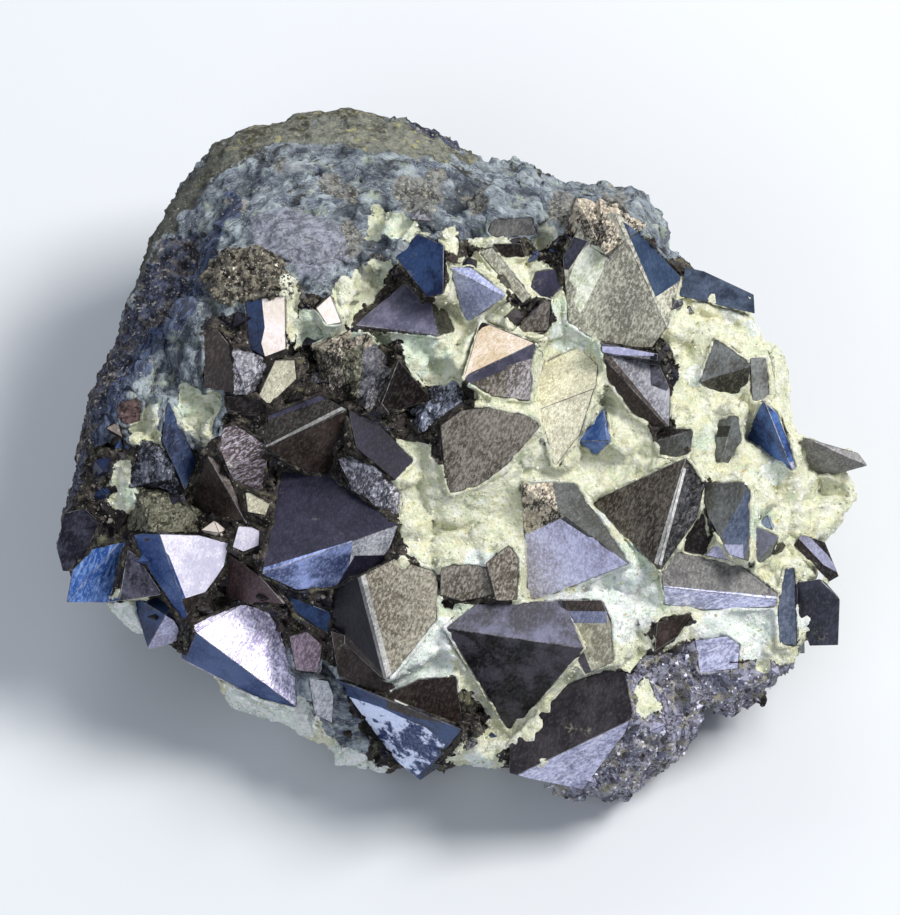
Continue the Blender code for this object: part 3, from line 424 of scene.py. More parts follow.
    # NAVY to STREAKED_BLUE: their blue is partly a tarnish and partly a painted reflection of blue
    # surroundings.
    NAVY = Finish((38, 52, 78), (88, 104, 132), (126, 140, 164), 0.04, 0.2, 0.3, 0.3, 0.02, 3.0)
    DEEP_BLUE = Finish((24, 36, 70), (50, 74, 118), (90, 110, 150), 0.03, 0.2, 0.3, 0.3, 0.02, 2.4)
    BLUE = Finish((32, 64, 124), (84, 108, 160), (120, 146, 190), 0.04, 0.2, 0.3, 0.2, 0.02, 3.0)
    STEEL_BLUE = Finish((46, 82, 132), (78, 112, 160), (124, 146, 178), 0.06, 0.4, 0.42, 0.1, 0.03, 2.0)
    DUSTY_BLUE = Finish((76, 88, 116), (124, 136, 162), (176, 184, 196), 0.08, 0.4, 0.38, 0.2, 0.03, 2.4)
    STREAKED_BLUE = Finish(
        (32, 64, 122), (76, 106, 162), (140, 166, 206), 0.06, 0.4, 0.32, 0.2, 0.03, 1.6, 70.0
    )
    MAROON = Finish((40, 35, 40), (70, 64, 70), (110, 106, 112), 0.04, 0.3, 0.32, 0.3, 0.02, 3.0)
    BRICK = Finish((48, 33, 34), (70, 53, 54), (110, 92, 90), 0.04, 0.4, 0.36, 0.2, 0.03)
    RUSSET = Finish((46, 31, 31), (96, 75, 74), (132, 114, 112), 0.05, 0.3, 0.5, 0.1, 0.24, 1.6)
    ETCHED = Finish((30, 46, 86), (190, 198, 222), (236, 238, 250), 0.06, 0.12, 0.42, 0.1, 0.2, 1.7)
    PALE_COAT = Finish((178, 184, 156), (236, 238, 224), (250, 250, 244), 0.10, 0.5, 0.7, 0.0, 0.08, 1.4)
    # Pale thin strips that facets lay along crystal edges: painted edge highlights.
    RIM = Finish((140, 140, 138), (206, 206, 204), (240, 240, 238), 0.10, 0.5, 0.35, 0.1, 0.03)
    GREY = Finish((102, 101, 108), (170, 170, 182), (200, 200, 210), 0.08, 0.5, 0.4, 0.2, 0.03, 2.0)
    # Bevelled crystal edges: patchy painted highlight.
    EDGE = Finish((50, 48, 52), (140, 138, 140), (204, 202, 202), 0.06, 0.3, 0.34, 0.2, 0.0, 2.2)


# Angle on the face of the fine grain of crystals without streaks, in degrees.
GRAIN_TURN = 66.0


class CrystalPaint:
    """Makes one material for each look, when it is first asked for."""

    def __init__(self):
        """Starts with no materials."""
        self.made: dict = {}

    def material(self, look: Look) -> bpy.types.Material:
        """The material of a look."""
        if look not in self.made:
            self.made[look] = self.paint(look)
        return self.made[look]

    def paint(self, look: Look) -> bpy.types.Material:
        """Builds the material of a look.

        Args:
            look: The kind of crystal face.

        Returns:
            The material.
        """
        finish = look.value
        made, p = new_material("crystal_" + look.name.lower())
        place = p.place_mm()
        patches = p.noise(place, finish.patch, 5.0, 0.65)
        grain = p.noise(place, 0.26, 2.0, 0.6)
        turn = GRAIN_TURN if finish.streak is None else finish.streak
        dashes = p.stretched(place, turn, (0.6, 1.25, 1.0))
        blots = p.noise(dashes, 0.34, 4.0, 0.7)
        haze = p.noise(place, 6.5, 2.0) - 0.5
        mottle = patches * (1 - finish.grain) + (grain * 0.25 + blots * 0.75) * finish.grain + haze * 0.5
        half = 0.11 - 0.3 * finish.relief
        colour = p.mix(mottle.between(0.5 - half, 0.5 + half), tint(*finish.deep), tint(*finish.pale))
        if finish.streak is not None:
            lines = p.noise(p.stretched(place, finish.streak, (0.3, 3.0, 1.5)), 1.0, 2.0, 0.6)
            colour = p.mix(lines.between(0.5, 0.7) * 0.5, colour, tint(*finish.speck))
        grit = p.noise(p.shifted(dashes, 11.0), 0.36, 2.0, 0.75)
        colour = p.mix((1 - grit).between(0.5, 0.58) * finish.grain * 0.8, colour, tint(*finish.deep))
        colour = p.mix(grit.between(0.51, 0.6) * finish.grain * 0.7, colour, tint(*finish.speck))
        edge = 0.68 - 0.3 * finish.specks
        specks = (grain * 0.75 + patches * 0.25).between(edge, edge + 0.08)
        colour = p.mix(specks * 0.85, colour, tint(*finish.speck))
        dust = p.noise(place, 5.0, 4.0, 0.7).between(0.6, 0.74)
        dust = dust * p.noise(place, 0.4, 2.0).between(0.5, 0.62)
        colour = p.mix(dust * 0.3, colour, tint(206, 206, 176))
        # The lift multiplies the colour: partly the face's own tone and partly painted light and shade.
        colour = p.mix(1.0, colour, p.attribute("lift"), "MULTIPLY")
        rough = finish.rough + patches.between(0.35, 0.65) * 0.12 + dust * 0.2
        normal = p.bump(patches * 0.35 + grain * 0.65, 0.6, 0.04 + finish.relief)
        p.surface(colour, rough, finish.metallic, normal, 0.4)
        return made


@dataclass(frozen=True)
class Facet:
    """A flat patch of a crystal that has a look of its own.

    Args:
        look: The look.
        outline: Corners as (along, up).
        lift: How many times lighter than the look it is, partly painted light and shade.
    """

    look: Look
    outline: tuple
    lift: float = 1.0


# Each crystal's look and lift. The lifts are partly the crystals' own tone and partly painted light and
# shade, set so that each face shows as light as it was lit.
LOOKS = {
    "peak_octahedron": (Look.GREY_BROWN, 1.01),
    "slanted_bar": (Look.GREY_BROWN, 1),
    "wide_block": (Look.DULL_GREY, 0.73),
    "tip_octahedron": (Look.DULL_GREY, 1),
    "violet_block": (Look.DULL_GREY, 0.6),
    "banded_octahedron": (Look.GREY, 0.75),
    "grey_flake": (Look.OLIVE_GREY, 1),
    "olive_flank": (Look.OLIVE_GREY, 0.87),
    "small_grey_block": (Look.OLIVE_GREY, 1),
    "black_octahedron": (Look.FROSTED_BLACK, 0.72),
    "black_slot": (Look.BLACK, 1),
    "black_wedge": (Look.BLACK, 1),
    "dark_ledge": (Look.BLACK, 1),
    "small_dark_block": (Look.BLACK, 1),
    "right_strip": (Look.BLACK, 1),
    "rough_brown_cluster": (Look.ROUGH, 1.91),
    "rough_dark_cluster": (Look.ROUGH_NAVY, 2.72),
    "rough_left_cluster": (Look.ROUGH_NAVY, 1.36),
    "rough_lower_left_cluster": (Look.ROUGH_OLIVE, 0.7),
    "rough_crest": (Look.ROUGH_GREY, 2.08),
    "rough_grey_cluster": (Look.ROUGH_GREY, 1.22),
    "blue_chip": (Look.BLUE, 1.5),
    "left_point": (Look.NIGHT, 1.2),
    "sliver": (Look.DEEP_BLUE, 0.6),
    "navy_octahedron": (Look.DEEP_BLUE, 2.6),
    "blue_sliver": (Look.DEEP_BLUE, 1),
    "pointed_octahedron": (Look.DEEP_BLUE, 1),
    "etched_octahedron": (Look.DEEP_BLUE, 1),
    "blue_column": (Look.DUSTY_BLUE, 0.56),
    "navy_tablet": (Look.NAVY, 0.55),
    "streaked_octahedron": (Look.STREAKED_BLUE, 1.66),
    "dark_splinter": (Look.UMBER, 1),
    "brown_slot": (Look.UMBER, 1),
    "maroon_left_octahedron": (Look.UMBER, 0.86),
    "umber_octahedron": (Look.DULL_UMBER, 0.8),
    "brown_chip": (Look.DULL_UMBER, 1),
    "brown_octahedron": (Look.DULL_UMBER, 0.28),
    "brown_trapezoid": (Look.SPECKLED, 0.68),
    "speckled_block": (Look.SPECKLED, 0.83),
    "cream_topped_octahedron": (Look.SPECKLED, 0.83),
    "brick_octahedron": (Look.BRICK, 1.25),
    "russet_knob": (Look.RUSSET, 1),
    "cream_chip": (Look.CREAM, 1),
    "cream_tablet": (Look.CREAM, 1.18),
    "frosted_octahedron": (Look.FROST, 1.8),
    "white_octahedron": (Look.WHITE, 1.04),
    "pink_chip": (Look.BLUSH, 1),
    "white_blade": (Look.BLUSH, 1.15),
    "lavender_block": (Look.LAVENDER_GRAIN, 1.17),
    "lavender_octahedron": (Look.LAVENDER, 1.6),
    "pale_lavender_block": (Look.PALE_LAVENDER, 1),
    "maroon_octahedron": (Look.MAROON, 0.78),
    "mauve_block": (Look.PLUM, 1),
    "olive_octahedron": (Look.OLIVE, 0.55),
    "slate_octahedron": (Look.SLATE, 0.69),
    "violet_chip": (Look.SLATE, 1),
    "slate_flank": (Look.MATT_SLATE, 0.39),
    "purple_octahedron": (Look.SLATE_MID, 1.81),
    "small_purple_octahedron": (Look.SLATE_PALE, 2.22),
}


FACETS = {
    "rough_brown_cluster": (
        Facet(Look.ROUGH_GREY, ((-10.1, 12.6), (-7.7, 13.8), (-6.2, 13.4), (-7, 10.2), (-7.9, 7.1),
            (-9.4, 5.6), (-10.8, 6.6)), 0.6),
        Facet(Look.ROUGH_OLIVE, ((-12.5, 12.4), (-10.1, 13.3), (-10.3, 9.2), (-11, 5.6), (-12, 5.6),
            (-12.6, 8.6)), 0.8),
    ),
    "slate_octahedron": (
        Facet(Look.DUSK, ((-22.6, -13.1), (-11.4, -9.7), (-11.8, -12.6), (-13.8, -16), (-18.6, -16)), 1.38),
        Facet(Look.PALE_LAVENDER, ((-11.4, -9.8), (-6.5, -8), (-4.1, -8.3), (-4.6, -11.4),
            (-12, -11.5)), 1.12),
    ),
    "olive_octahedron": (
        Facet(Look.NIGHT, ((-11.3, -10.7), (-7.2, -26.3), (-9.4, -28), (-15.6, -22), (-15, -12.4),
            (-12.6, -10)), 0.29),
        Facet(Look.UMBER, ((-14, -20.4), (-12, -21), (-7.9, -25.3), (-5.8, -28), (-7.2, -29.8),
            (-13.2, -26.2))),
        Facet(Look.RIM, ((-11.8, -10.3), (-10.7, -10.6), (-6.8, -25.3), (-7.7, -26)), 0.6),
    ),
    "cream_topped_octahedron": (
        Facet(Look.BRIGHT_CREAM, ((0.6, 12.8), (3.6, 15.4), (9.8, 13.4), (2.2, 9.8), (0.7, 10.2)), 1.1),
        Facet(Look.BLACK, ((-1.4, 12.4), (-0.4, 13.7), (3.6, 16.7), (6.2, 16.2), (3.8, 15.2),
            (0.7, 12.7))),
        Facet(Look.SLATE_MID, ((1.7, 9.2), (2.2, 9.8), (9.8, 13.3), (13.4, 13.1), (2.2, 8.5))),
        Facet(Look.MAUVE, ((6.6, 10.7), (13, 12.6), (12.5, 7.1), (8.4, 6.5), (6.6, 7))),
    ),
    "lavender_octahedron": (
        Facet(Look.ROUGH, ((7.4, -8.8), (7.8, -3), (12, -2.8), (14.9, -6.6), (12.8, -7.2),
            (9.2, -8.9)), 2.57),
        Facet(Look.OLIVE_GREY, ((12, -2.8), (14.9, -2.8), (17.5, -7), (21.4, -12.4), (17.2, -10),
            (12.8, -7.1)), 0.6),
    ),
    "black_octahedron": (
        Facet(Look.GREY_SLATE, ((-1.2, -20), (3, -16.7), (13.4, -16.4), (16, -22.1), (-0.5, -20.4)), 1.04),
        Facet(Look.UMBER, ((13.2, -16.4), (18.4, -16.6), (18.4, -18), (13.6, -18))),
        Facet(Look.SLATE_PALE, ((13.6, -18), (18.4, -18), (18.4, -19.4), (14.2, -19.4))),
        Facet(Look.KHAKI, ((13.8, -19.4), (19.2, -19.4), (19.2, -24.8), (16.6, -25.1), (15.4, -22))),
    ),
    "umber_octahedron": (
        Facet(Look.RIM, ((27.2, -1.1), (28.1, -1.6), (24.7, -12.6), (23.8, -12.4))),
        Facet(Look.ROUGH_GREY, ((27.7, -1.1), (28.1, 0.6), (30.2, -3.4), (29.3, -6.6), (24.7, -12.6)), 0.2),
        Facet(Look.BLACK, ((28.1, -6.8), (30.2, -6.4), (31.2, -10), (29, -12.4), (27.6, -11.4))),
    ),
    "olive_flank": (
        Facet(Look.DUSTY_BLUE, ((35, -3.5), (36.2, -4.2), (34.2, -12.6), (31.8, -9.1)), 0.68),
        Facet(Look.LAVENDER, ((28.3, -10.2), (34.3, -10.2), (34.4, -13.4), (29.5, -13.4))),
        Facet(Look.GREY_SLATE, ((35.4, -7.9), (38.6, -9.4), (35.4, -12.8))),
    ),
    "banded_octahedron": (
        Facet(Look.SLATE_MID, ((17.3, 15.2), (18.7, 15.2), (24.2, 13), (17.8, 13))),
        Facet(Look.BRIGHT_LAVENDER, ((17.5, 13), (24.2, 13), (23.8, 11.9), (18, 11.9)), 0.9),
        Facet(Look.NIGHT, ((23.4, 12.7), (27.6, 11.2), (25.4, 7.8), (23.5, 8.5)), 0.9),
        Facet(Look.UMBER, ((17.3, 12.6), (18.6, 12.1), (26, 3.2), (24.6, 2), (16.6, 8)), 0.9),
    ),
    "peak_octahedron": (
        Facet(Look.ROUGH, ((13.2, 26), (14.6, 30.4), (18, 31.3), (24, 29.9), (25.2, 26.5),
            (22.8, 26), (20.2, 27.2), (20.6, 25.3), (18, 24.1), (16.1, 25.1)), 2.54),
        Facet(Look.STEEL_BLUE, ((20.2, 27.7), (25.7, 23.9), (27.8, 21.2), (24.1, 18.8)), 0.32),
        Facet(Look.PALE_COAT, ((16.3, 25), (17.5, 24.7), (18.2, 23.3), (17.8, 21.6), (16.9, 19.9),
            (16.2, 18.5), (15.2, 16.9), (14.5, 18.5), (14.9, 19.7), (13.9, 20.8), (14.5, 22.4),
            (15.2, 23.9)), 1.05),
        Facet(Look.NIGHT, ((10.2, 22.4), (12.7, 27.1), (13.4, 26.3), (16.1, 25.3), (13.9, 22))),
    ),
    "purple_octahedron": (
        Facet(Look.OLIVE_DARK, ((-2.5, 18.8), (-0.2, 18.1), (1, 14.3), (-1.7, 14.3))),
        Facet(Look.DEEP_BLUE, ((-5.5, 18.8), (-6, 25.6), (-0.5, 26), (-0.5, 18.6), (-2.4, 18.8),
            (-3.1, 21.2)), 0.8),
    ),
    "brown_octahedron": (
        Facet(Look.VEINED_UMBER, ((-26.9, 3.2), (-21.6, 5.4), (-21.5, -0.2), (-19.7, -2.5),
            (-20.5, -5.5), (-27.4, -1.2)), 1.97),
        Facet(Look.SLATE, ((-21.8, 4.4), (-21.6, 6.1), (-14.4, 8.5), (-13.7, 7.2), (-21.4, 4.4))),
        Facet(Look.UMBER, ((-22.1, -0.1), (-21.6, 0.8), (-15, 4.2), (-12, 5.9), (-11.8, 1.1),
            (-14.6, -3.2), (-18.2, -2)), 1.09),
        Facet(Look.RIM, ((-22, 1.2), (-12.4, 6.1), (-12.1, 5.8), (-21.8, 0.8)), 0.6),
        Facet(Look.RIM, ((-12.5, 5.8), (-12.1, 5.8), (-11.8, 1), (-12, 0.8)), 0.5),
        Facet(Look.RIM, ((-21.7, 5.5), (-21.5, 5.5), (-21.6, 1), (-22, 1)), 0.6),
    ),
    "streaked_octahedron": (
        Facet(Look.NIGHT, ((-37.7, -11.3), (-35.8, -12.4), (-33.1, -15.1), (-36, -16.8),
            (-38.9, -17)), 1.47),
    ),
    "navy_octahedron": (
        Facet(Look.DEEP_BLUE, ((37.6, 7.3), (40.8, -1.8), (42.2, -1.8), (42.2, 3.2), (39.1, 7.1)), 1.4),
        Facet(Look.LAVENDER, ((37, -1.1), (40.8, -0.4), (41.6, -4.4), (37, -3.6))),
    ),
    "right_strip": (
        Facet(Look.LAVENDER, ((40.6, -9.1), (41.6, -8.5), (44.4, -11.5), (46.1, -13.8),
            (43.9, -12.6))),
    ),
    "blue_column": (
        Facet(Look.NIGHT, ((40.3, -14.5), (44.4, -14.5), (45.6, -22.4), (41.8, -22.4)), 0.99),
    ),
    "white_blade": (
        Facet(Look.DEEP_BLUE, ((-24.5, 18.8), (-22.1, 18.8), (-21.7, 15.2), (-22.1, 13.4),
            (-21.6, 11.4), (-24.5, 12.1)), 0.6),
    ),
    "wide_block": (
        Facet(Look.LAVENDER_GRAIN, ((23.4, -14.9), (39, -16.4), (39, -18.1), (23.4, -17.4)), 1.6),
    ),
    "maroon_octahedron": (
        Facet(Look.LAVENDER_GRAIN, ((7.7, -38.3), (9.7, -37.1), (19.4, -31.3), (21.6, -31.8),
            (18.5, -36.4), (15, -40)), 1.04),
    ),
    "etched_octahedron": (
        Facet(Look.ETCHED, ((-12, -28.1), (-9.4, -28.9), (-5.8, -30.4), (-2.4, -32), (-0.5, -33.5),
            (-1.4, -35.2), (-4.1, -37.7), (-5.5, -36.4), (-8.4, -33.4), (-10.7, -30.6)), 1.58),
        Facet(Look.UMBER, ((-7.7, -26), (1, -24.8), (1.4, -31.2), (-3.6, -30.6), (-7.4, -29.4))),
    ),
    "frosted_octahedron": (
        Facet(Look.BLUE, ((-32, -20), (-29.6, -20.8), (-22.8, -26.5), (-17.4, -29.4),
            (-22.6, -29.4), (-31.8, -24.6)), 0.72),
    ),
    "small_dark_block": (
        Facet(Look.OLIVE_GREY, ((23.8, 2), (28.6, 2.5), (28.3, -0.1), (24, -0.1)), 0.7),
    ),
    "grey_flake": (
        Facet(Look.OLIVE_DARK, ((30.7, 8.8), (35, 10.6), (35, 8.5), (34.4, 7.9), (31.7, 7.3),
            (30, 8.3)), 1.1),
    ),
    "small_grey_block": (
        Facet(Look.OLIVE_DARK, ((31.1, 3.7), (32.9, 3.7), (32.9, 2.4), (31.1, 2.4)), 0.6),
    ),
    "brick_octahedron": (
        Facet(Look.WHITE, ((-26.2, -8.4), (-22.4, -7.9), (-22.1, -10.6), (-25.7, -10.8)), 0.85),
    ),
    "white_octahedron": (
        Facet(Look.BLUE, ((-37.7, -8.3), (-36, -8.5), (-32.9, -11.5), (-31.1, -16.2),
            (-31.1, -19.8), (-31.9, -20), (-37.4, -10.4)), 0.9),
        Facet(Look.UMBER, ((-31.7, -16.7), (-28.3, -15.7), (-30, -20), (-31.7, -20)), 0.9),
    ),
    "pointed_octahedron": (
        Facet(Look.LAVENDER, ((-33.7, -19.2), (-31.2, -21.1), (-31.3, -24), (-35.6, -24.2),
            (-35.5, -22)), 1.5),
    ),
    "maroon_left_octahedron": (
        Facet(Look.CREAM, ((-23.8, -4), (-21, -4), (-20.9, -6.6), (-23.8, -6.4))),
    ),
}


# Least share of a face's direction that is outward for it to be lit, and the lift of the other faces:
# painted shade that darkens the crystals' sides.
FACING = 0.3
SIDE_SHADE = 0.45

# Shares of a face under a facet from which it is wholly, mostly and partly under it.
WHOLLY, MOSTLY, PARTLY = 0.8, 0.5, 0.04

# Looks whose faces have no clean edges.
CRUMBLY = (Look.RUSSET, Look.ROUGH, Look.ROUGH_GREY, Look.ROUGH_NAVY, Look.ROUGH_OLIVE)


@dataclass
class Crystal:
    """One crystal of the specimen, cut from its solid.

    Args:
        node: Name of the solid that it stands for.
        look: Look of the faces that no facet names.
        lift: How many times lighter than the look they are, partly painted light and shade.
        facets: The patches with looks of their own.
        bevel: Width of the bevelled edge that carries a painted highlight, in millimetres.
        step: Longest edge of the surface, in millimetres.
    """

    node: str
    look: Look
    lift: float = 1.0
    facets: tuple = ()
    bevel: float = 0.06
    step: float = 0.55
    mesh: bmesh.types.BMesh = field(default=None, repr=False)
    lifts: bmesh.types.BMLayerItem = field(default=None, repr=False)

    def build(self, solid: bpy.types.Object, paint: CrystalPaint) -> bpy.types.Object:
        """Cuts, bevels and roughens the solid.

        Args:
            solid: The solid as it was made.
            paint: Where the materials come from.

        Returns:
            The finished piece.
        """
        looks = [self.look, *(facet.look for facet in self.facets), Look.EDGE]
        self.mesh = bmesh.new()
        self.mesh.from_mesh(solid.data)
        bmesh.ops.remove_doubles(self.mesh, verts=self.mesh.verts, dist=1e-6)
        flat = {"verts": self.mesh.verts, "edges": self.mesh.edges}
        bmesh.ops.dissolve_limit(self.mesh, angle_limit=radians(0.6), **flat)
        self.lifts = self.mesh.faces.layers.float.new("lift")
        for face in self.mesh.faces:
            face.material_index = 0
            # Faces that turn away from the outward direction get painted shade.
            face[self.lifts] = self.lift * (1.0 if face.normal.dot(OUT) > FACING else SIDE_SHADE)
            face.smooth = False
        for number, facet in enumerate(self.facets, 1):
            self.lay(facet, number)
        self.wear_edges([number for number, look in enumerate(looks) if look in CRUMBLY], len(looks) - 1)
        self.subdivide()
        self.roughen([look.value.relief for look in looks])
        made = bpy.data.meshes.new(self.node + "_facets")
        self.mesh.to_mesh(made)
        self.mesh.free()
        for look in looks:
            made.materials.append(paint.material(look))
        return keep(made, solid)

    def lay(self, facet: Facet, number: int) -> None:
        """Gives the seen faces under a facet its look, and cuts those that are only partly under it.

        Args:
            facet: The facet.
            number: Its material's place in the list.
        """
        seen = [face for face in self.mesh.faces if face.normal.dot(OUT) > 0.02]
        shares = {face: self.share_under(face, facet.outline) for face in seen}
        for face, share in shares.items():
            if share > WHOLLY:
                self.dress(face, number, facet.lift)
        partly = [face for face, share in shares.items() if PARTLY < share <= WHOLLY]
        for start, end in zip(facet.outline, (*facet.outline[1:], facet.outline[0])):
            first, second = FACE.place(*start, 0), FACE.place(*end, 0)
            across = (second - first).cross(OUT)
            geometry = dict.fromkeys(partly)
            for face in partly:
                geometry.update(dict.fromkeys((*face.edges, *face.verts)))
            cut = bmesh.ops.bisect_plane(
                self.mesh, geom=list(geometry), dist=1e-6, plane_co=first, plane_no=across.normalized()
            )
            partly = [part for part in cut["geom"] if isinstance(part, bmesh.types.BMFace)]
        for face in partly:
            if self.share_under(face, facet.outline) > MOSTLY:
                self.dress(face, number, facet.lift)

    def dress(self, face: bmesh.types.BMFace, material: int, lift: float) -> None:
        """Gives a face its material and lift."""
        face.material_index = material
        face[self.lifts] = lift

    @staticmethod
    def share_under(face: bmesh.types.BMFace, outline: tuple) -> float:
        """The share of a face that lies under an outline, as the camera sees it."""
        corners = FACE.seen([corner.co for corner in face.verts])[:, :2]
        lines = [np.linspace(low, high, 14)[1:-1] for low, high in zip(corners.min(0), corners.max(0))]
        grid = np.stack(np.meshgrid(*lines), -1).reshape(-1, 2)
        on_face = grid[distance_inside(grid, tuple(map(tuple, corners))) > 0]
        if not len(on_face):
            on_face = corners.mean(0, keepdims=True)
        return float((distance_inside(on_face, outline) > 0).mean())

    def wear_edges(self, crumbly: list, material: int) -> None:
        """Bevels the sharp edges and gives them a patchy painted highlight.

        Args:
            crumbly: Materials whose faces have no clean edges.
            material: The bevelled edges' material, a painted highlight.
        """
        bmesh.ops.dissolve_degenerate(self.mesh, dist=0.1 * MM, edges=self.mesh.edges)
        sharp = [
            edge for edge in self.mesh.edges
            if edge.is_manifold and edge.calc_face_angle(0) > radians(14)
            and not any(face.material_index in crumbly for face in edge.link_faces)
        ]
        bmesh.ops.bevel(
            self.mesh, geom=sharp, offset=self.bevel * MM, offset_type="OFFSET", segments=1, profile=0.5,
            affect="EDGES", clamp_overlap=False, material=material,
        )

    def subdivide(self) -> None:
        """Splits the surface until no edge is longer than the step."""
        bmesh.ops.triangulate(self.mesh, faces=self.mesh.faces)
        for _ in range(7):
            long = [edge for edge in self.mesh.edges if edge.calc_length() > self.step * MM]
            if not long:
                break
            bmesh.ops.subdivide_edges(self.mesh, edges=long, cuts=1)
            bmesh.ops.triangulate(self.mesh, faces=self.mesh.faces)

    def roughen(self, reliefs: list) -> None:
        """Moves the surface in and out by the relief of each look."""
        self.mesh.normal_update()
        moves = []
        for corner in self.mesh.verts:
            height = min((reliefs[face.material_index] for face in corner.link_faces), default=0)
            place = corner.co / MM
            lumps = noise.noise(place * 0.9) * 0.6 + noise.cell(place * 1.6) * 0.5
            lumps += noise.noise(place * 2.6) * 0.5
            moves.append(corner.normal * (height * lumps * MM))
        for corner, move in zip(self.mesh.verts, moves):
            corner.co += move


def keep(mesh: bpy.types.Mesh, solid: bpy.types.Object) -> bpy.types.Object:
    """Adds a mesh to the scene in place of a solid.

    Args:
        mesh: The finished mesh.
        solid: The solid that it stands for.

    Returns:
        The new object.
    """
    made = placed(mesh.name, mesh)
    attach(made, "root")
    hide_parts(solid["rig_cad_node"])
    return made


def changed(
    mesh: bpy.types.Mesh, kind: str, settings: dict, points: np.ndarray | None = None
) -> bpy.types.Mesh:
    """A mesh after one modifier.

    Args:
        mesh: The mesh.
        kind: The modifier's type.
        settings: The modifier's settings.
        points: Which points it works on, or None for all.

    Returns:
        The new mesh.
    """
    thing = placed("unfinished", mesh)
    modifier = thing.modifiers.new("change", kind)
    for name, value in settings.items():
        if name.startswith("Socket"):
            modifier[name] = value
        else:
            setattr(modifier, name, value)
    if points is not None:
        thing.vertex_groups.new(name="chosen").add(np.nonzero(points)[0].tolist(), 1.0, "REPLACE")
        modifier.vertex_group = "chosen"
    bpy.context.view_layer.update()
    graph = bpy.context.evaluated_depsgraph_get()
    made = bpy.data.meshes.new_from_object(thing.evaluated_get(graph), depsgraph=graph)
    bpy.data.objects.remove(thing)
    return made


def coordinates(mesh: bpy.types.Mesh, normals: bool = False) -> np.ndarray:
    """The places of a mesh's points, or their normals, as rows."""
    values = np.zeros(len(mesh.vertices) * 3, np.float32)
    if normals:
        mesh.vertex_normals.foreach_get("vector", values)
    else:
        mesh.vertices.foreach_get("co", values)
    return values.reshape(-1, 3).astype(float)


def move_points(mesh: bpy.types.Mesh, places: np.ndarray) -> None:
    """Puts a mesh's points at these places."""
    mesh.vertices.foreach_set("co", places.astype(np.float32).ravel())
    mesh.update()


def noise_at(places: np.ndarray, size: float, octaves: int = 3, scale: tuple = (1, 1, 1)) -> np.ndarray:
    """Noise about 0 at places in millimetres.

    Args:
        places: The places as rows.
        size: Size of the largest lumps, in millimetres.
        octaves: How many times it repeats at half the size.
        scale: Scale along each axis.

    Returns:
        One value for each place.
    """
    points = places * np.array(scale) / size
    return np.array([noise.fractal(Vector(point), 0.9, 2.0, octaves) for point in points])


def chips_at(places: np.ndarray, size: float) -> np.ndarray:
    """Heights of broken chips of this size, each tilted its own way."""
    heights = []
    for point in places / size:
        middle = noise.voronoi(Vector(point))[1][0]
        tilt = Vector([noise.noise(middle * 5.3 + shift) for shift in TILT_SHIFTS])
        heights.append((Vector(point) - middle).dot(tilt) + 0.3 * noise.noise(middle * 3.1))
    return np.array(heights)


def ridges_at(places: np.ndarray, size: float) -> np.ndarray:
    """0 at the middle of each cell of this size, and up to 1 at its edges."""
    return np.array([noise.voronoi(Vector(point))[0][0] for point in places / size])


LEAF_MIDDLE = (-10.0, 8.0)
LEAF_RADIUS = 22.0


class Zone(Enum):
    """The kinds of rock. Where none is named the rock is dark and rough."""

    HOST = "host"
    PALE = "pale"
    ORE = "ore"
    FAR_RIM = "far_rim"
    FLANK = "flank"
    LEDGE = "ledge"
    BOSS = "boss"
    KNOB = "knob"
    DARK = "dark"


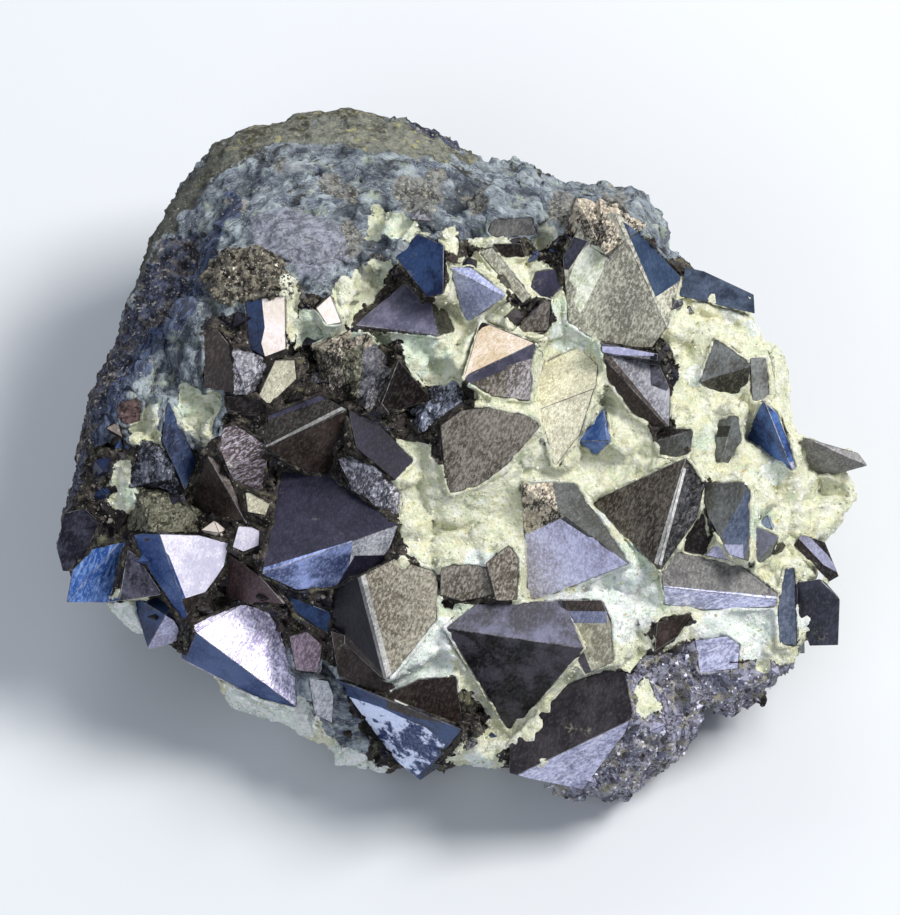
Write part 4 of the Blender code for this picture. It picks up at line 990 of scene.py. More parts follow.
OUTLINES = {
    Zone.PALE: (
        ((-18.5, 16.2), (-17, 17.4), (-14.4, 16.7), (-12.6, 15.8), (-10.8, 14.6), (-1.7, 14.5),
            (-2.4, 16.7), (-1.9, 18.8), (-0.5, 20), (0, 23.4), (6, 24.1), (10.8, 23.4), (12.7, 20),
            (16.8, 15.2), (23, 19.1), (30, 22.2), (39.6, 21.2), (45.6, 6.8), (51.6, 2), (54, -5.2),
            (50.4, -14.2), (49.2, -23.2), (39.6, -24.1), (34.2, -23.4), (28.6, -21.2), (24, -22.6),
            (20.6, -25.3), (17.5, -25.8), (13.2, -28), (9.6, -33.4), (7.4, -38.2), (0, -37.3),
            (0.2, -34.2), (5.4, -31), (2.4, -27.2), (-1.2, -28.4), (-6.2, -29.6), (-7.9, -26.3),
            (-1.4, -14.2), (-5, -11.2), (-6, -7.6), (-6.5, -5.2), (-6.6, 2.3), (-2.4, 1.7),
            (-1.2, -1.6), (0.2, -2.8), (-1.2, 7.4), (-3, 8), (-6, 11.4), (-7.8, 13.4),
            (-13.2, 13.4), (-18, 12.6)),
        ((-37.4, 4.4), (-36.5, 5.6), (-34.1, 6.8), (-33.6, 1.1), (-36, 0.5), (-37.2, 2)),
        ((-31.9, 9.2), (-29.4, 8), (-27, 7.6), (-26.9, 4.7), (-28.1, 1.8), (-30, 1.6), (-32.2, 5.4)),
        ((-38.6, -0.1), (-37.7, -0.6), (-37, -1.6), (-35.6, -2.5), (-35.4, -4), (-35.8, -5.8),
            (-37.2, -6.8), (-39.4, -6.1), (-40, -5.2), (-39.6, -3.7), (-40.2, -2.8), (-39.6, -1.8)),
        ((-42.5, -16), (-35.5, -16), (-34.2, -23.2), (-39.8, -22)),
        ((-28.3, -24.4), (-17.8, -28), (-12.6, -34), (-6, -37.6), (-8.4, -40), (-19.2, -33.4),
            (-27, -30.6)),
        ((-9.8, 25.8), (-8.9, 29.9), (-6, 28.7), (-2.8, 26.8), (-3.4, 25.3)),
        ((-1.4, 26), (1.2, 27.7), (0.7, 24.1), (-1.4, 24.1)),
        ((2.4, 25.8), (6, 26.5), (7, 24.4), (2.4, 24.4)),
        ((9.4, 25.3), (12.5, 28.4), (12.2, 25.3), (10.2, 24.6)),
        ((-19.9, 21), (-18, 21), (-17.8, 16.2), (-19.2, 12.8), (-19.9, 15.8)),
        ((-14.4, 18.8), (-12, 21.2), (-9.4, 22.9), (-6.7, 23.4), (-7.7, 20), (-11, 15.7),
            (-13.9, 16)),
        ((21.4, -25.8), (23.5, -25.3), (24.7, -28.9), (23, -31.1), (21.6, -29.2)),
    ),
    Zone.HOST: (
        ((-38.4, 2), (-36, 4.4), (-34.2, 11.6), (-30, 14.6), (-27.1, 10.9), (-25.9, 6.8),
            (-26.4, 3), (-29.4, 1.1), (-34.8, 0.6)),
        ((-19.8, -22), (-12.6, -24.4), (-11.8, -29.2), (-9.4, -34.9), (-12.6, -35.4), (-15, -33.4),
            (-18, -29.8), (-20.4, -26.8)),
        ((-48, -17.2), (-43.2, -1.6), (-42, 1.8), (-38.4, 2), (-36, 4.4), (-34.2, 11.6),
            (-30, 14.6), (-28.6, 16.2), (-25.2, 16.7), (-21.8, 16.9), (-19, 18.4), (-18, 19.6),
            (-14.4, 18.8), (-12.6, 17.4), (-9.4, 18.8), (-5.8, 23.4), (-2.4, 25.4), (13.2, 26),
            (15.6, 29), (22.8, 26), (25.8, 23.4), (32.4, 26), (32.4, 47.6), (-32.4, 47.6),
            (-51.6, 18.8)),
    ),
    Zone.FAR_RIM: (
        ((-39.6, 15.2), (-35.8, 22.7), (-32.9, 27), (-29.4, 31.3), (-25.7, 34.7), (-20.4, 36.6),
            (-14.4, 37.1), (-8.4, 36.4), (-3.6, 35.2), (2.4, 34.7), (4.3, 36.8), (3.6, 47.6),
            (-30, 47.6), (-42, 36.8), (-46.8, 15.2)),
    ),
    Zone.FLANK: (
        ((-49.2, -12.4), (-43.2, -5.2), (-42, 0.8), (-39.8, 7.4), (-35, 13.4), (-30.2, 19.3),
            (-29.3, 23.4), (-30.5, 26), (-32.9, 26.5), (-36, 22.4), (-39.6, 14.6), (-46.8, 14.6),
            (-51.6, 0.8)),
    ),
    Zone.LEDGE: (
        ((-25.7, 31.3), (-24, 30.2), (-26.6, 26), (-28.1, 19.8), (-32.9, 13.3), (-37.7, 7.3),
            (-40.1, 1.6), (-41, -5.2), (-43, -5.2), (-41.8, 2.3), (-39.6, 8.8), (-34.8, 14.8),
            (-30, 20.5), (-28.8, 25.8)),
    ),
    Zone.BOSS: (
        ((-24, 27.5), (-18, 28.9), (-12.6, 27.2), (-11.8, 23.4), (-15.4, 20.3), (-19.2, 23.2),
            (-23.4, 23.6)),
    ),
    Zone.KNOB: (
        ((-27.4, 23.2), (-25.2, 24.4), (-22.1, 24.4), (-19.7, 22.9), (-18.5, 20.8), (-19.4, 18.6),
            (-22.3, 17.2), (-25.7, 17.4), (-27.6, 18.8), (-28.4, 21)),
    ),
    Zone.DARK: (
        ((-15.4, 12.8), (-6, 13.3), (-2.2, 6.8), (2.4, 8.9), (3.4, 3), (-2.4, 1.8), (-6, 4.2),
            (-13.4, 4.8), (-15.8, 9.2)),
        ((22.8, 5.9), (24.6, 6.4), (26.2, 3.2), (26.6, 1.1), (25.2, 1.1), (23.5, 3.8)),
        ((17.4, 15), (24.6, 14), (27.1, 10.9), (24.6, 3.8), (18, 11.6)),
        ((6.7, 19.3), (11.4, 19.3), (12, 15.2), (8.4, 14.8)),
        ((29.3, -2.8), (30.6, -2.5), (31.4, -7.6), (30, -10.6)),
        ((-1.4, -13.8), (6.6, -13), (7, -17.2), (-0.5, -17.2)),
        ((6, -34.6), (8.4, -33.4), (18, -25.3), (22.8, -24.4), (21, -31.6), (7.4, -38.8)),
        ((23.4, -19.3), (28.8, -18.4), (28.8, -19.8), (24, -22.7)),
    ),
    Zone.ORE: (
        ((11.8, -29.2), (13.4, -27.7), (21, -25.3), (23, -23.5), (28.8, -21.7), (35.4, -23.8),
            (42.7, -21.5), (43.4, -24.4), (30, -32.5), (26.2, -38.2), (18, -41.2), (7.8, -40),
            (7, -37.8), (13.2, -35.4), (20.6, -32.3)),
    ),
}

# Rim of the crystal face, from its upper left round to the right.
RIM = ((-24, 39.2), (-18, 40.6), (-6, 40.3), (-1, 38.6), (3.6, 35.6), (13.2, 33.2), (18, 32.3),
    (23, 31.6), (25.3, 27.8), (25.6, 24.8), (30, 21), (35.4, 18.8), (36.8, 14.4), (39.1, 12),
    (39.4, 6.8), (40.3, 3.2), (46.4, -1.2), (47.4, -5), (45.4, -7.6), (43.8, -10.3), (43.4, -14.8),
    (43.2, -20.6), (41.6, -22), (40.2, -25.3), (36, -27.4), (30, -30), (28.8, -32.5), (25.8, -35.8),
    (22.8, -37.6), (21, -39.6), (16.8, -39.6), (11.4, -38.5), (7, -36.4), (0.6, -36.1), (-3, -36.9),
    (-9, -37.3), (-12.6, -36.2), (-13.8, -34.3), (-18, -31.6), (-25.8, -28.9), (-28.2, -25),
    (-34.2, -22), (-36, -21), (-40.8, -17.2), (-44.4, -14.8), (-46, -11.2), (-45.8, -6.6),
    (-44, -2.2), (-42.8, 6.8), (-41.6, 9.2), (-39, 15), (-38, 21.2), (-36, 25.4), (-31.2, 32),
    (-27, 36.8))

# Whitest places of the matrix, partly painted highlight: (along, up, radius).
WHITE = ((19.4, -16.9, 5.8), (-3.4, -25, 5), (-1.2, -20.8, 2.4), (14.4, 14.6, 2.6),
    (33.8, -19.6, 5.5), (-20.4, -28.6, 4.3), (-10.8, -35.8, 3.6), (13.2, -17.2, 2.4),
    (-38.4, -20.2, 3.1), (-31.8, -25, 2.4), (-18, -31, 2.9), (-12, -34.6, 2.4), (32.4, -22, 2.2),
    (20.6, -13.6, 1.7), (-6, -28, 1.9), (-3.6, -24.4, 1.4), (14.4, 14, 1.7), (34.8, -19, 3.4),
    (33, 16.7, 1.2), (35.4, 15.2, 1.1), (-3, -19, 1.2), (-8.4, -36.4, 1.9), (3.6, -35.8, 1.7),
    (-24, -28.6, 2.9), (-39, -19, 2.6), (40.8, -19, 1.4), (18, -7, 1.4), (3.6, -12.4, 1.7),
    (28.8, 9.8, 1.7), (38.4, -1.6, 1.7), (22.8, -10.6, 1.2))

# Mint-coloured places of the matrix: (along, up, radius).
MINT = ((-15.6, 14.6, 3.1), (-9.6, 12.8, 3.6), (-3, 12.2, 3.6), (-6.6, 27.8, 2.9),
    (14.4, 16.4, 3.1), (18, 13.4, 2.6), (13.2, -5.2, 2.9), (20.4, -12.4, 3.1), (-4.8, -22, 3.1),
    (0, -17.2, 2.6), (24.6, -16, 2.9), (-32.4, 6.8, 3.1), (-37.8, -4, 1.9), (36, -7.6, 2.4),
    (30, 2, 1.9))

# Dull worn places of the host rock: (along, up, radius).
DULL = ((-14.2, 32.4, 1.8), (-12.2, 31.2, 1.2), (-3.8, 30.8, 3.1), (-25.2, 29.9, 1.7),
    (-11.8, 25.7, 2.4), (3, 30.2, 1.9), (13.2, 29, 2.4), (-8.4, 23, 1.4), (-18, 20, 1.1),
    (19.2, 30.2, 1.9), (-19.8, 34.4, 1.1), (-1.2, 33.2, 1.2))

# Crusts of matrix on top of crystals: (along, up, radius).
CRUSTS = ((8.3, -32.3, 1.6), (10, -31, 1.2), (11.4, -29.5, 1), (10.6, -35.5, 1.1), (12.2, -28, 0.6),
    (17.6, -26.3, 0.6), (17, -24.6, 1), (6, -32.8, 0.8), (31, 18.8, 0.8), (22.8, -16.9, 0.8),
    (-12.5, 17.4, 0.8), (-1.2, -1.6, 0.7), (17.3, -15.7, 0.8), (36.8, -24.4, 0.8), (18, -1.8, 0.7),
    (16.6, 26, 0.6), (1.4, 12, 0.5), (35.3, 6.6, 0.6), (-5.5, -12.4, 0.7), (41.9, -19.1, 1),
    (30.7, 7.8, 0.7), (35.5, 18.8, 0.6))


class Tops:
    """Heights of the crystals' flat tops, as the camera sees them."""

    def __init__(self, solids: list, step: float = 0.3, steepest: float = 0.28):
        """Looks at the crystals along an even grid.

        Args:
            solids: The crystals' solids.
            step: Distance between the grid's lines, in millimetres.
            steepest: Least share of a face's direction that is outward for it to count as a top.
        """
        tree = self.tree_of(solids)
        tops, gaps = [], []
        for along in np.arange(-50, 52, step):
            for up in np.arange(-46, 46, step):
                start = FACE.place(along, up, 40)
                found, normal, _, distance = tree.ray_cast(start, -OUT)
                if found is not None and normal.dot(OUT) > steepest:
                    tops.append((along, up, 40 - distance / MM))
                else:
                    gaps.append((along, up, 0.0))
        self.heights = [top[2] for top in tops]
        self.step = step
        self.tops = self.flat_tree(tops)
        self.gaps = self.flat_tree(gaps)

    @staticmethod
    def tree_of(solids: list) -> BVHTree:
        """One search tree of several solids."""
        corners, faces = [], []
        for solid in solids:
            start = len(corners)
            corners.extend(corner.co for corner in solid.data.vertices)
            faces.extend([start + i for i in face.vertices] for face in solid.data.polygons)
        return BVHTree.FromPolygons(corners, faces)

    @staticmethod
    def flat_tree(points: list) -> KDTree:
        """A search tree of places on the face."""
        tree = KDTree(len(points))
        for number, (along, up, _) in enumerate(points):
            tree.insert((along, up, 0.0), number)
        tree.balance()
        return tree

    def at(self, along: float, up: float) -> tuple:
        """What lies nearest to a place.

        Args:
            along: The place along the face.
            up: The place up the face.

        Returns:
            How far it lies inside a crystal's top, below zero outside one, and the height there.
        """
        near = self.tops.find_n((along, up, 0.0), 4)
        height = sum(self.heights[found[1]] for found in near) / len(near)
        outside = near[0][2]
        if outside > self.step * 0.75:
            return -outside, self.heights[near[0][1]]
        return self.gaps.find((along, up, 0.0))[2], height


@dataclass
class Rock:
    """The lump of ore and pale matrix that the crystals grow from.

    Args:
        voxel: Size of the cells that the surface is made of, in millimetres.
        hidden_share: Share of the triangles kept where the camera can't see.
        kept_share: Share of the finished surface's triangles that are kept, fewest where it is even.
        swell: How far the crystals are swollen so that no gap is left round them.
        climb: How far the rock may climb up a crystal, in millimetres.
    """

    voxel: float = 0.36
    hidden_share: float = 0.12
    kept_share: float = 0.6
    swell: float = 0.45
    climb: float = 5.0
    fields: dict = field(default_factory=dict)

    def build(self, solid: bpy.types.Object, crystals: list) -> bpy.types.Object:
        """Makes the rock's surface.

        Args:
            solid: The rock's solid.
            crystals: The crystals' solids.

        Returns:
            The finished piece.
        """
        mesh = self.thinned(self.remeshed(solid, crystals))
        self.bare_rim(mesh, Tops.tree_of([solid]))
        inside = self.settle(mesh, Tops(crystals))
        self.find_zones(mesh)
        self.displace(mesh, inside)
        for name, values in self.fields.items():
            layer = mesh.attributes.new(name, "FLOAT", "POINT")
            layer.data.foreach_set("value", np.asarray(values, np.float32))
        mesh = changed(mesh, "DECIMATE", {"ratio": self.kept_share})
        mesh.materials.clear()
        mesh.materials.append(RockPaint().material())
        mesh.shade_smooth()
        mesh.name = "matrix_rock_surface"
        return keep(mesh, solid)

    def remeshed(self, solid: bpy.types.Object, crystals: list) -> bpy.types.Mesh:
        """One even surface round the rock and the slightly swollen crystals."""
        joined = bmesh.new()
        joined.from_mesh(solid.data)
        for crystal in crystals:
            part = bmesh.new()
            part.from_mesh(crystal.data)
            bmesh.ops.remove_doubles(part, verts=part.verts, dist=1e-6)
            part.normal_update()
            for corner in part.verts:
                corner.co += corner.normal * self.swell * MM
            mesh = bpy.data.meshes.new("swollen")
            part.to_mesh(mesh)
            part.free()
            joined.from_mesh(mesh)
            bpy.data.meshes.remove(mesh)
        whole = bpy.data.meshes.new("rock_surface")
        joined.to_mesh(whole)
        joined.free()
        return changed(whole, "REMESH", {"mode": "VOXEL", "voxel_size": self.voxel * MM})

    def thinned(self, mesh: bpy.types.Mesh) -> bpy.types.Mesh:
        """Keeps few triangles where the camera can't see."""
        places = FACE.seen(coordinates(mesh))
        facing = coordinates(mesh, normals=True) @ np.array(OUT)
        hidden = (1 - smooth_step(places[:, 2], -22, -16)) + (facing < -0.3) * (places[:, 2] < -7) > 0.5
        ratio = float(1 - hidden.mean() * (1 - self.hidden_share))
        return changed(mesh, "DECIMATE", {"ratio": ratio}, hidden)

    def bare_rim(self, mesh: bpy.types.Mesh, rock: BVHTree) -> None:
        """Hides the skin over the crystals that stand out past the rim."""
        places = coordinates(mesh)
        normals = coordinates(mesh, normals=True)
        away = np.array([rock.find_nearest(Vector(place))[3] for place in places]) / MM
        outer = smooth_step(distance_inside(FACE.seen(places)[:, :2], RIM), 1.2, 0.2)
        sink = smooth_step(away, 0.15, 0.45) * outer * (self.swell + 0.4)
        move_points(mesh, places - normals * (sink * MM)[:, None])

    def settle(self, mesh: bpy.types.Mesh, tops: Tops) -> np.ndarray:
        """Lets the rock climb the crystals' sides and sink below their tops.

        Args:
            mesh: The rock's surface.
            tops: Heights of the crystals.

        Returns:
            How far each point lies inside a crystal's top, in millimetres.
        """
        places = coordinates(mesh)
        seen = FACE.seen(places)
        near = [tops.at(along, up) for along, up in seen[:, :2]]
        inside = np.array([found[0] for found in near])
        height = np.array([found[1] for found in near])
        wave = noise_at(np.column_stack([seen[:, :2], np.zeros(len(seen))]), 2.2, 3)
        torn = wave * 0.7 + noise_at(seen + 71, 0.9, 2) * 0.6
        foot = height - 0.25 - 0.5 * wave - 0.5 * np.maximum(-inside, 0)
        crust = 0.85 * smooth_step(wave, 0.12, 0.42) * np.exp(-np.maximum(inside, 0) / 0.8)
        for along, up, radius in CRUSTS:
            spread = np.hypot(seen[:, 0] - along, seen[:, 1] - up) / radius + torn
            crust = np.maximum(crust, 0.85 * (1 - smooth_step(spread, 0.75, 1.05)))
        sunk = height - 0.7 + crust
        rise = np.clip(foot - seen[:, 2], 0, self.climb)
        on_face = smooth_step(distance_inside(seen[:, :2], RIM), -0.2, 0.8)
        facing = coordinates(mesh, normals=True) @ np.array(OUT)
        open_sky = smooth_step(seen[:, 2], -5, 0) * on_face * (facing > -0.2)
        move = np.where(inside > 0, sunk - seen[:, 2], rise * (inside > -4) * open_sky)
        move = np.where((inside > 0) & (seen[:, 2] < height - 3), 0, move)
        places += np.array(OUT) * (move * MM)[:, None]
        self.relax(mesh, places, (move != 0) | (inside > -1.5))
        return inside

    @staticmethod
    def relax(mesh: bpy.types.Mesh, places: np.ndarray, moved: np.ndarray, times: int = 2) -> None:
        """Evens out the moved points and puts all points in place."""
        ends = np.zeros(len(mesh.edges) * 2, np.int32)
        mesh.edges.foreach_get("vertices", ends)
        first, second = ends.reshape(-1, 2).T
        count = np.bincount(ends, minlength=len(places))[:, None]
        for _ in range(times):
            total = np.zeros_like(places)
            np.add.at(total, first, places[second])
            np.add.at(total, second, places[first])
            places = np.where(moved[:, None], 0.5 * places + 0.5 * total / np.maximum(count, 1), places)
        move_points(mesh, places)

    def find_zones(self, mesh: bpy.types.Mesh) -> None:
        """Works out how much of each kind of rock there is at each point."""
        seen = FACE.seen(coordinates(mesh))
        wobble = np.stack([noise_at(seen + shift, 2.6, 3) for shift in (0, 40)], -1) * 0.9
        flat = seen[:, :2] + wobble
        front = smooth_step(seen[:, 2] + 7 * noise_at(seen, 9.0, 5), -13, -6)
        for zone in Zone:
            inside = np.max([distance_inside(flat, outline) for outline in OUTLINES[zone]], axis=0)
            self.fields[zone.value] = smooth_step(inside, -0.5, 0.5) * front
        self.fields["pale"] *= 1 - self.fields["dark"]
        for along, up, size in CRUSTS:
            spread = np.hypot(*(seen[:, :2] - (along, up)).T) / size
            crust = (1 - smooth_step(spread, 1.0, 1.4)) * front
            self.fields["pale"] = np.maximum(self.fields["pale"], crust)
        self.fields["ore"] *= 1 - self.fields["pale"]
        self.fields["host"] = np.maximum(self.fields["host"], 1 - front)
        self.fields["white"] = self.blots(flat, WHITE)
        self.fields["mint"] = self.blots(flat, MINT)
        self.fields["dull"] = self.blots(flat, DULL)
        shaded = smooth_step(noise_at(seen + 5, 8.0, 4), -0.35, 0.1)
        self.fields["flank"] = np.maximum(self.fields["flank"], (1 - front) * shaded)

    @staticmethod
    def blots(flat: np.ndarray, circles: tuple) -> np.ndarray:
        """1 inside any of these circles of (along, up, radius) and 0 well outside them all."""
        spreads = [np.hypot(*(flat - (along, up)).T) / radius for along, up, radius in circles]
        return 1 - smooth_step(np.min(spreads, axis=0), 0.5, 1.2)

    def displace(self, mesh: bpy.types.Mesh, inside: np.ndarray) -> None:
        """Gives each kind of rock its own lumps.

        Args:
            mesh: The rock's surface.
            inside: How far each point lies inside a crystal's top, in millimetres.
        """
        places = coordinates(mesh)
        normals = coordinates(mesh, normals=True)
        seen = FACE.seen(places)
        host, pale, ore, rim, flank, ledge, boss, knob, _ = (self.fields[zone.value] for zone in Zone)
        dark = np.clip(1 - pale - host - ore, 0, 1)
        broad = noise_at(seen, 5.0, 3)
        fine = noise_at(seen + 17, 1.5, 3)
        lumps = 0.55 - ridges_at(seen, 1.7)
        crags = 0.55 - ridges_at(seen + 9, 3.4)
        leaves = noise_at(self.wrapped(seen), 2.6, 4, (0.32, 1.2, 0.8))
        leafy = host * (1 - np.maximum.reduce([rim, flank, boss, knob]))
        bent = seen + np.column_stack([fine, broad, -fine]) * 0.7
        chips, flakes = chips_at(bent, 2.6), chips_at(bent + 23, 1.1)
        height = pale * (0.3 * broad + 0.2 * fine + 0.6 * chips + 0.5 * flakes)
        height += dark * (0.5 * broad + 0.3 * fine + 0.3 * lumps + 0.5 * crags + 1.2 * chips + 0.9 * flakes)
        height += ore * (0.5 * broad + 0.45 * fine + 0.9 * lumps + 0.4 * crags)
        height += leafy * (0.8 * broad + 0.3 * fine + 0.6 * leaves)
        height += leafy * (1.2 * chips + 0.5 * flakes + 0.5 * crags)
        height += host * rim * (0.3 * broad + 0.3 * fine + 0.4 * flakes)
        height += host * flank * (0.4 * broad + 0.4 * fine + 0.2 * lumps + 0.5 * flakes - 0.3)
        height += ledge * (0.7 + 0.6 * leaves)
        height += boss * (0.8 + 0.5 * broad + 0.25 * fine + 0.3 * leaves + 0.4 * flakes)
        height += knob * (0.9 + 0.3 * fine + 0.4 * lumps + 0.6 * flakes)
        away = np.maximum(-inside, 0)
        loose = 0.2 + 0.8 * smooth_step(away, 0.1, 1.2)
        above_floor = smooth_step(places[:, 2] / MM, 0.6, 2.2)
        move_points(mesh, places + normals * (height * loose * above_floor * MM)[:, None])
        self.fields["height"] = height
        # How near each point lies to a crystal, which sets the painted contact shadow in the material.
        self.fields["near"] = 1 - smooth_step(away, 0.1, 1.1)
        self.fields["away"] = away

    @staticmethod
    def wrapped(seen: np.ndarray) -> np.ndarray:
        """Places measured round and away from the middle of the rock's leaves."""
        across = seen[:, :2] - LEAF_MIDDLE
        turn = np.arctan2(across[:, 1], across[:, 0])
        return np.column_stack([turn * LEAF_RADIUS, np.linalg.norm(across, axis=1), seen[:, 2]])


class RockPaint:
    """Makes the rock's material: dark rough rock, grey host, pale matrix and granular ore."""

    def __init__(self):
        """Starts the material and what all its parts share."""
        self.made, self.p = new_material("matrix_rock_surface")
        p = self.p
        self.place = p.place_mm()
        self.fine = p.noise(self.place, 0.42, 3.0, 0.6)
        self.broad = p.noise(self.place, 4.5, 4.0, 0.6)
        self.height = p.attribute("height")
        self.spread = (p.noise(self.place, 1.0, 4.0, 0.65) - 0.5) * 1.3

    def mask(self, zone: Zone) -> Shade:
        """Where a zone is, with a ragged edge."""
        return (self.p.attribute(zone.value) + self.spread).between(0.42, 0.58)

    def wide_mask(self, zone: Zone) -> Shade:
        """Where a zone is, with a broad torn edge."""
        torn = (self.p.noise(self.place, 2.2, 5.0, 0.75) - 0.5) * 2.6
        return (self.p.attribute(zone.value) + torn).between(0.3, 0.8)

    def noise(self, size: float, detail: float = 3.0, rough: float = 0.55, shift: float = 0.0) -> Shade:
        """Noise over the rock with lumps of this size, moved along each axis, in millimetres."""
        place = self.p.shifted(self.place, shift) if shift else self.place
        return self.p.noise(place, size, detail, rough)

    def leaf_noise(
        self, scale: tuple, size: float, detail: float, rough: float, shift: float = 0.0
    ) -> Shade:
        """Noise along the leaves, which is scaled round their middle, away from it and out of the face."""
        place = self.leaf_place(scale)
        return self.p.noise(self.p.shifted(place, shift) if shift else place, size, detail, rough)

    def leaf_place(self, scale: tuple, bend: float = 3.2) -> Shade:
        """Places measured round and away from the middle of the leaves, then scaled.

        Args:
            scale: Scale round the middle, away from it and out of the face.
            bend: How far the leaves are bent, in millimetres.

        Returns:
            The places.
        """
        p = self.p
        swirl = p.result("Color", "ShaderNodeTexNoise", {}, {"Vector": self.place, "Scale": 0.22})
        bent = p.result("Vector", "ShaderNodeVectorMath", {"operation": "SCALE"}, {0: swirl, "Scale": bend})
        moved = p.vector_math("ADD", self.place, bent)
        along = p.dot(moved, ALONG) - (LEAF_MIDDLE[0] + bend / 2)
        up = p.dot(moved, UP) - (LEAF_MIDDLE[1] + FACE.height * UP.z + bend / 2)
        turn = p.math("ARCTAN2", up, along) * (LEAF_RADIUS * scale[0])
        away = p.math("SQRT", along * along + up * up) * scale[1]
        return p.vector(turn, away, p.dot(moved, OUT) * scale[2])

    def blend(self, source: Shade, low: float, high: float, first: tuple, second: tuple) -> Shade:
        """The first screen colour where the source is low and the second where it is high."""
        return self.p.mix(source.between(low, high), tint(*first), tint(*second))

    def layered(self, colour: Shade, *layers: tuple) -> Shade:
        """Lays screen colours over a colour, one after the other.

        Args:
            colour: The colour below.
            layers: Each as a source, its values where the layer starts and is full, the layer's
                strength and its screen colour.

        Returns:
            The colour with all its layers.
        """
        for source, low, high, strength, tone in layers:
            colour = self.p.mix(source.between(low, high) * strength, colour, tint(*tone))
        return colour

    def ridge(self, source: Shade, width: float) -> Shade:
        """Thin lines where a noise passes its middle."""
        return 1.0 - self.p.math("ABSOLUTE", source - 0.52).between(0.0, width)

    def material(self) -> bpy.types.Material:
        """The material."""
        p = self.p
        colour = self.dark()
        for zone, paint in ((Zone.HOST, self.host), (Zone.PALE, self.pale), (Zone.ORE, self.ore)):
            colour = p.mix(self.mask(zone), colour, paint())
        bumps = self.fine * 0.5 + p.cells(self.place, 0.5) * 0.2 + self.noise(1.1, 6.0, 0.8) * 0.9
        # Painted shade: the rock next to the crystals is darkened as a contact shadow.
        near = p.attribute("near") * self.noise(0.8, 2.0).between(0.45, 0.6)
        colour = p.mix(near * 0.22, colour, tint(78, 74, 60))
        rough = 0.85 - p.attribute(Zone.ORE.value) * 0.35 - p.attribute(Zone.KNOB.value) * 0.3
        p.surface(colour, rough, 0.0, p.bump(bumps, 1.0, 0.42), 0.2)
        return self.made

    def host(self) -> Shade:
        """Grey host rock: wispy leaves, an olive far rim, a dark flank whose darkness is partly painted
        shade, a smooth boss and a rough knob, with painted shade in its low places and painted highlight on
        its high ones.
        """
        p = self.p
        leaves = self.leaf_noise((0.4, 1.0, 0.7), 2.4, 5.0, 0.7)
        colour = self.blend(leaves, 0.4, 0.6, (82, 89, 101), (164, 174, 182))
        torn = self.leaf_noise((0.6, 1.0, 0.8), 1.7, 6.0, 0.8, 4.0)
        threads = self.leaf_noise((0.3, 1.7, 1.0), 0.8, 5.0, 0.72)
        colour = self.layered(
            colour,
            (self.noise(6.0, 5.0, 0.7, 5.0), 0.46, 0.58, 0.6, (92, 100, 122)),
            (torn, 0.54, 0.62, 0.8, (184, 196, 202)),
            (1.0 - torn, 0.54, 0.62, 0.8, (52, 56, 68)),
        )
        colour = p.mix(self.ridge(threads, 0.05) * 0.4, colour, tint(198, 208, 208))
        colour = self.layered(
            colour,
            (1.0 - threads, 0.56, 0.64, 0.5, (66, 70, 74)),
            (self.noise(3.0, 5.0, 0.75), 0.55, 0.64, 0.55, (178, 188, 162)),
            (self.leaf_noise((0.5, 1.2, 1.0), 2.6, 5.0, 0.75), 0.57, 0.64, 0.85, (58, 55, 44)),
            # Painted shade in the low places and painted highlight on the high ones.
            (0.1 - self.height, 0.0, 0.8, 0.7, (44, 48, 60)),
            (self.height, 0.5, 1.2, 0.45, (186, 192, 196)),
        )
        colour = p.mix((p.attribute("dull") + self.spread).between(0.35, 0.65) * 0.8, colour, self.dull())
        colour = p.mix(self.wide_mask(Zone.FAR_RIM), colour, self.far_rim())
        colour = p.mix(self.mask(Zone.FLANK), colour, self.flank())
        # The ledge: dark blue-grey with pale blue threads, which are partly painted blue light along the
        # lit edge.
        ledge = p.mix(threads.between(0.48, 0.6) * 0.7, tint(36, 42, 66), tint(104, 122, 162))
        colour = p.mix(self.wide_mask(Zone.LEDGE) * 0.85, colour, ledge)
        swirl = self.leaf_noise((0.7, 1.3, 1.0), 0.9, 5.0, 0.75)
        smooth = self.blend(swirl, 0.4, 0.6, (96, 98, 110), (164, 166, 180))
        colour = p.mix(self.wide_mask(Zone.BOSS) * 0.85, colour, smooth)
        colour = p.mix(self.wide_mask(Zone.KNOB), colour, self.knob())
        return self.layered(colour, (self.fine, 0.63, 0.7, 0.6, (206, 204, 188)))

    def dull(self) -> Shade:
        """Brown-grey worn places of the host with olive and pale grains."""
        colour = self.blend(self.noise(1.0, 5.0, 0.78), 0.42, 0.58, (58, 56, 50), (150, 148, 142))
        return self.layered(colour, (self.fine, 0.56, 0.66, 0.7, (196, 190, 160)))

    def far_rim(self) -> Shade:
        """Olive-brown rock with yellow flecks, darker towards its left end."""
        grit = self.noise(0.9, 4.0, 0.75)
        return self.layered(
            self.blend(self.broad, 0.4, 0.6, (80, 78, 66), (124, 126, 116)),
            (grit, 0.5, 0.6, 0.7, (152, 152, 138)),
            (1.0 - grit, 0.54, 0.64, 0.7, (50, 50, 46)),
            (self.noise(1.7, 4.0, 0.75), 0.58, 0.66, 0.75, (184, 178, 122)),
            (-20.0 - self.p.dot(self.place, ALONG), 0.0, 12.0, 0.6, (44, 42, 46)),
        )

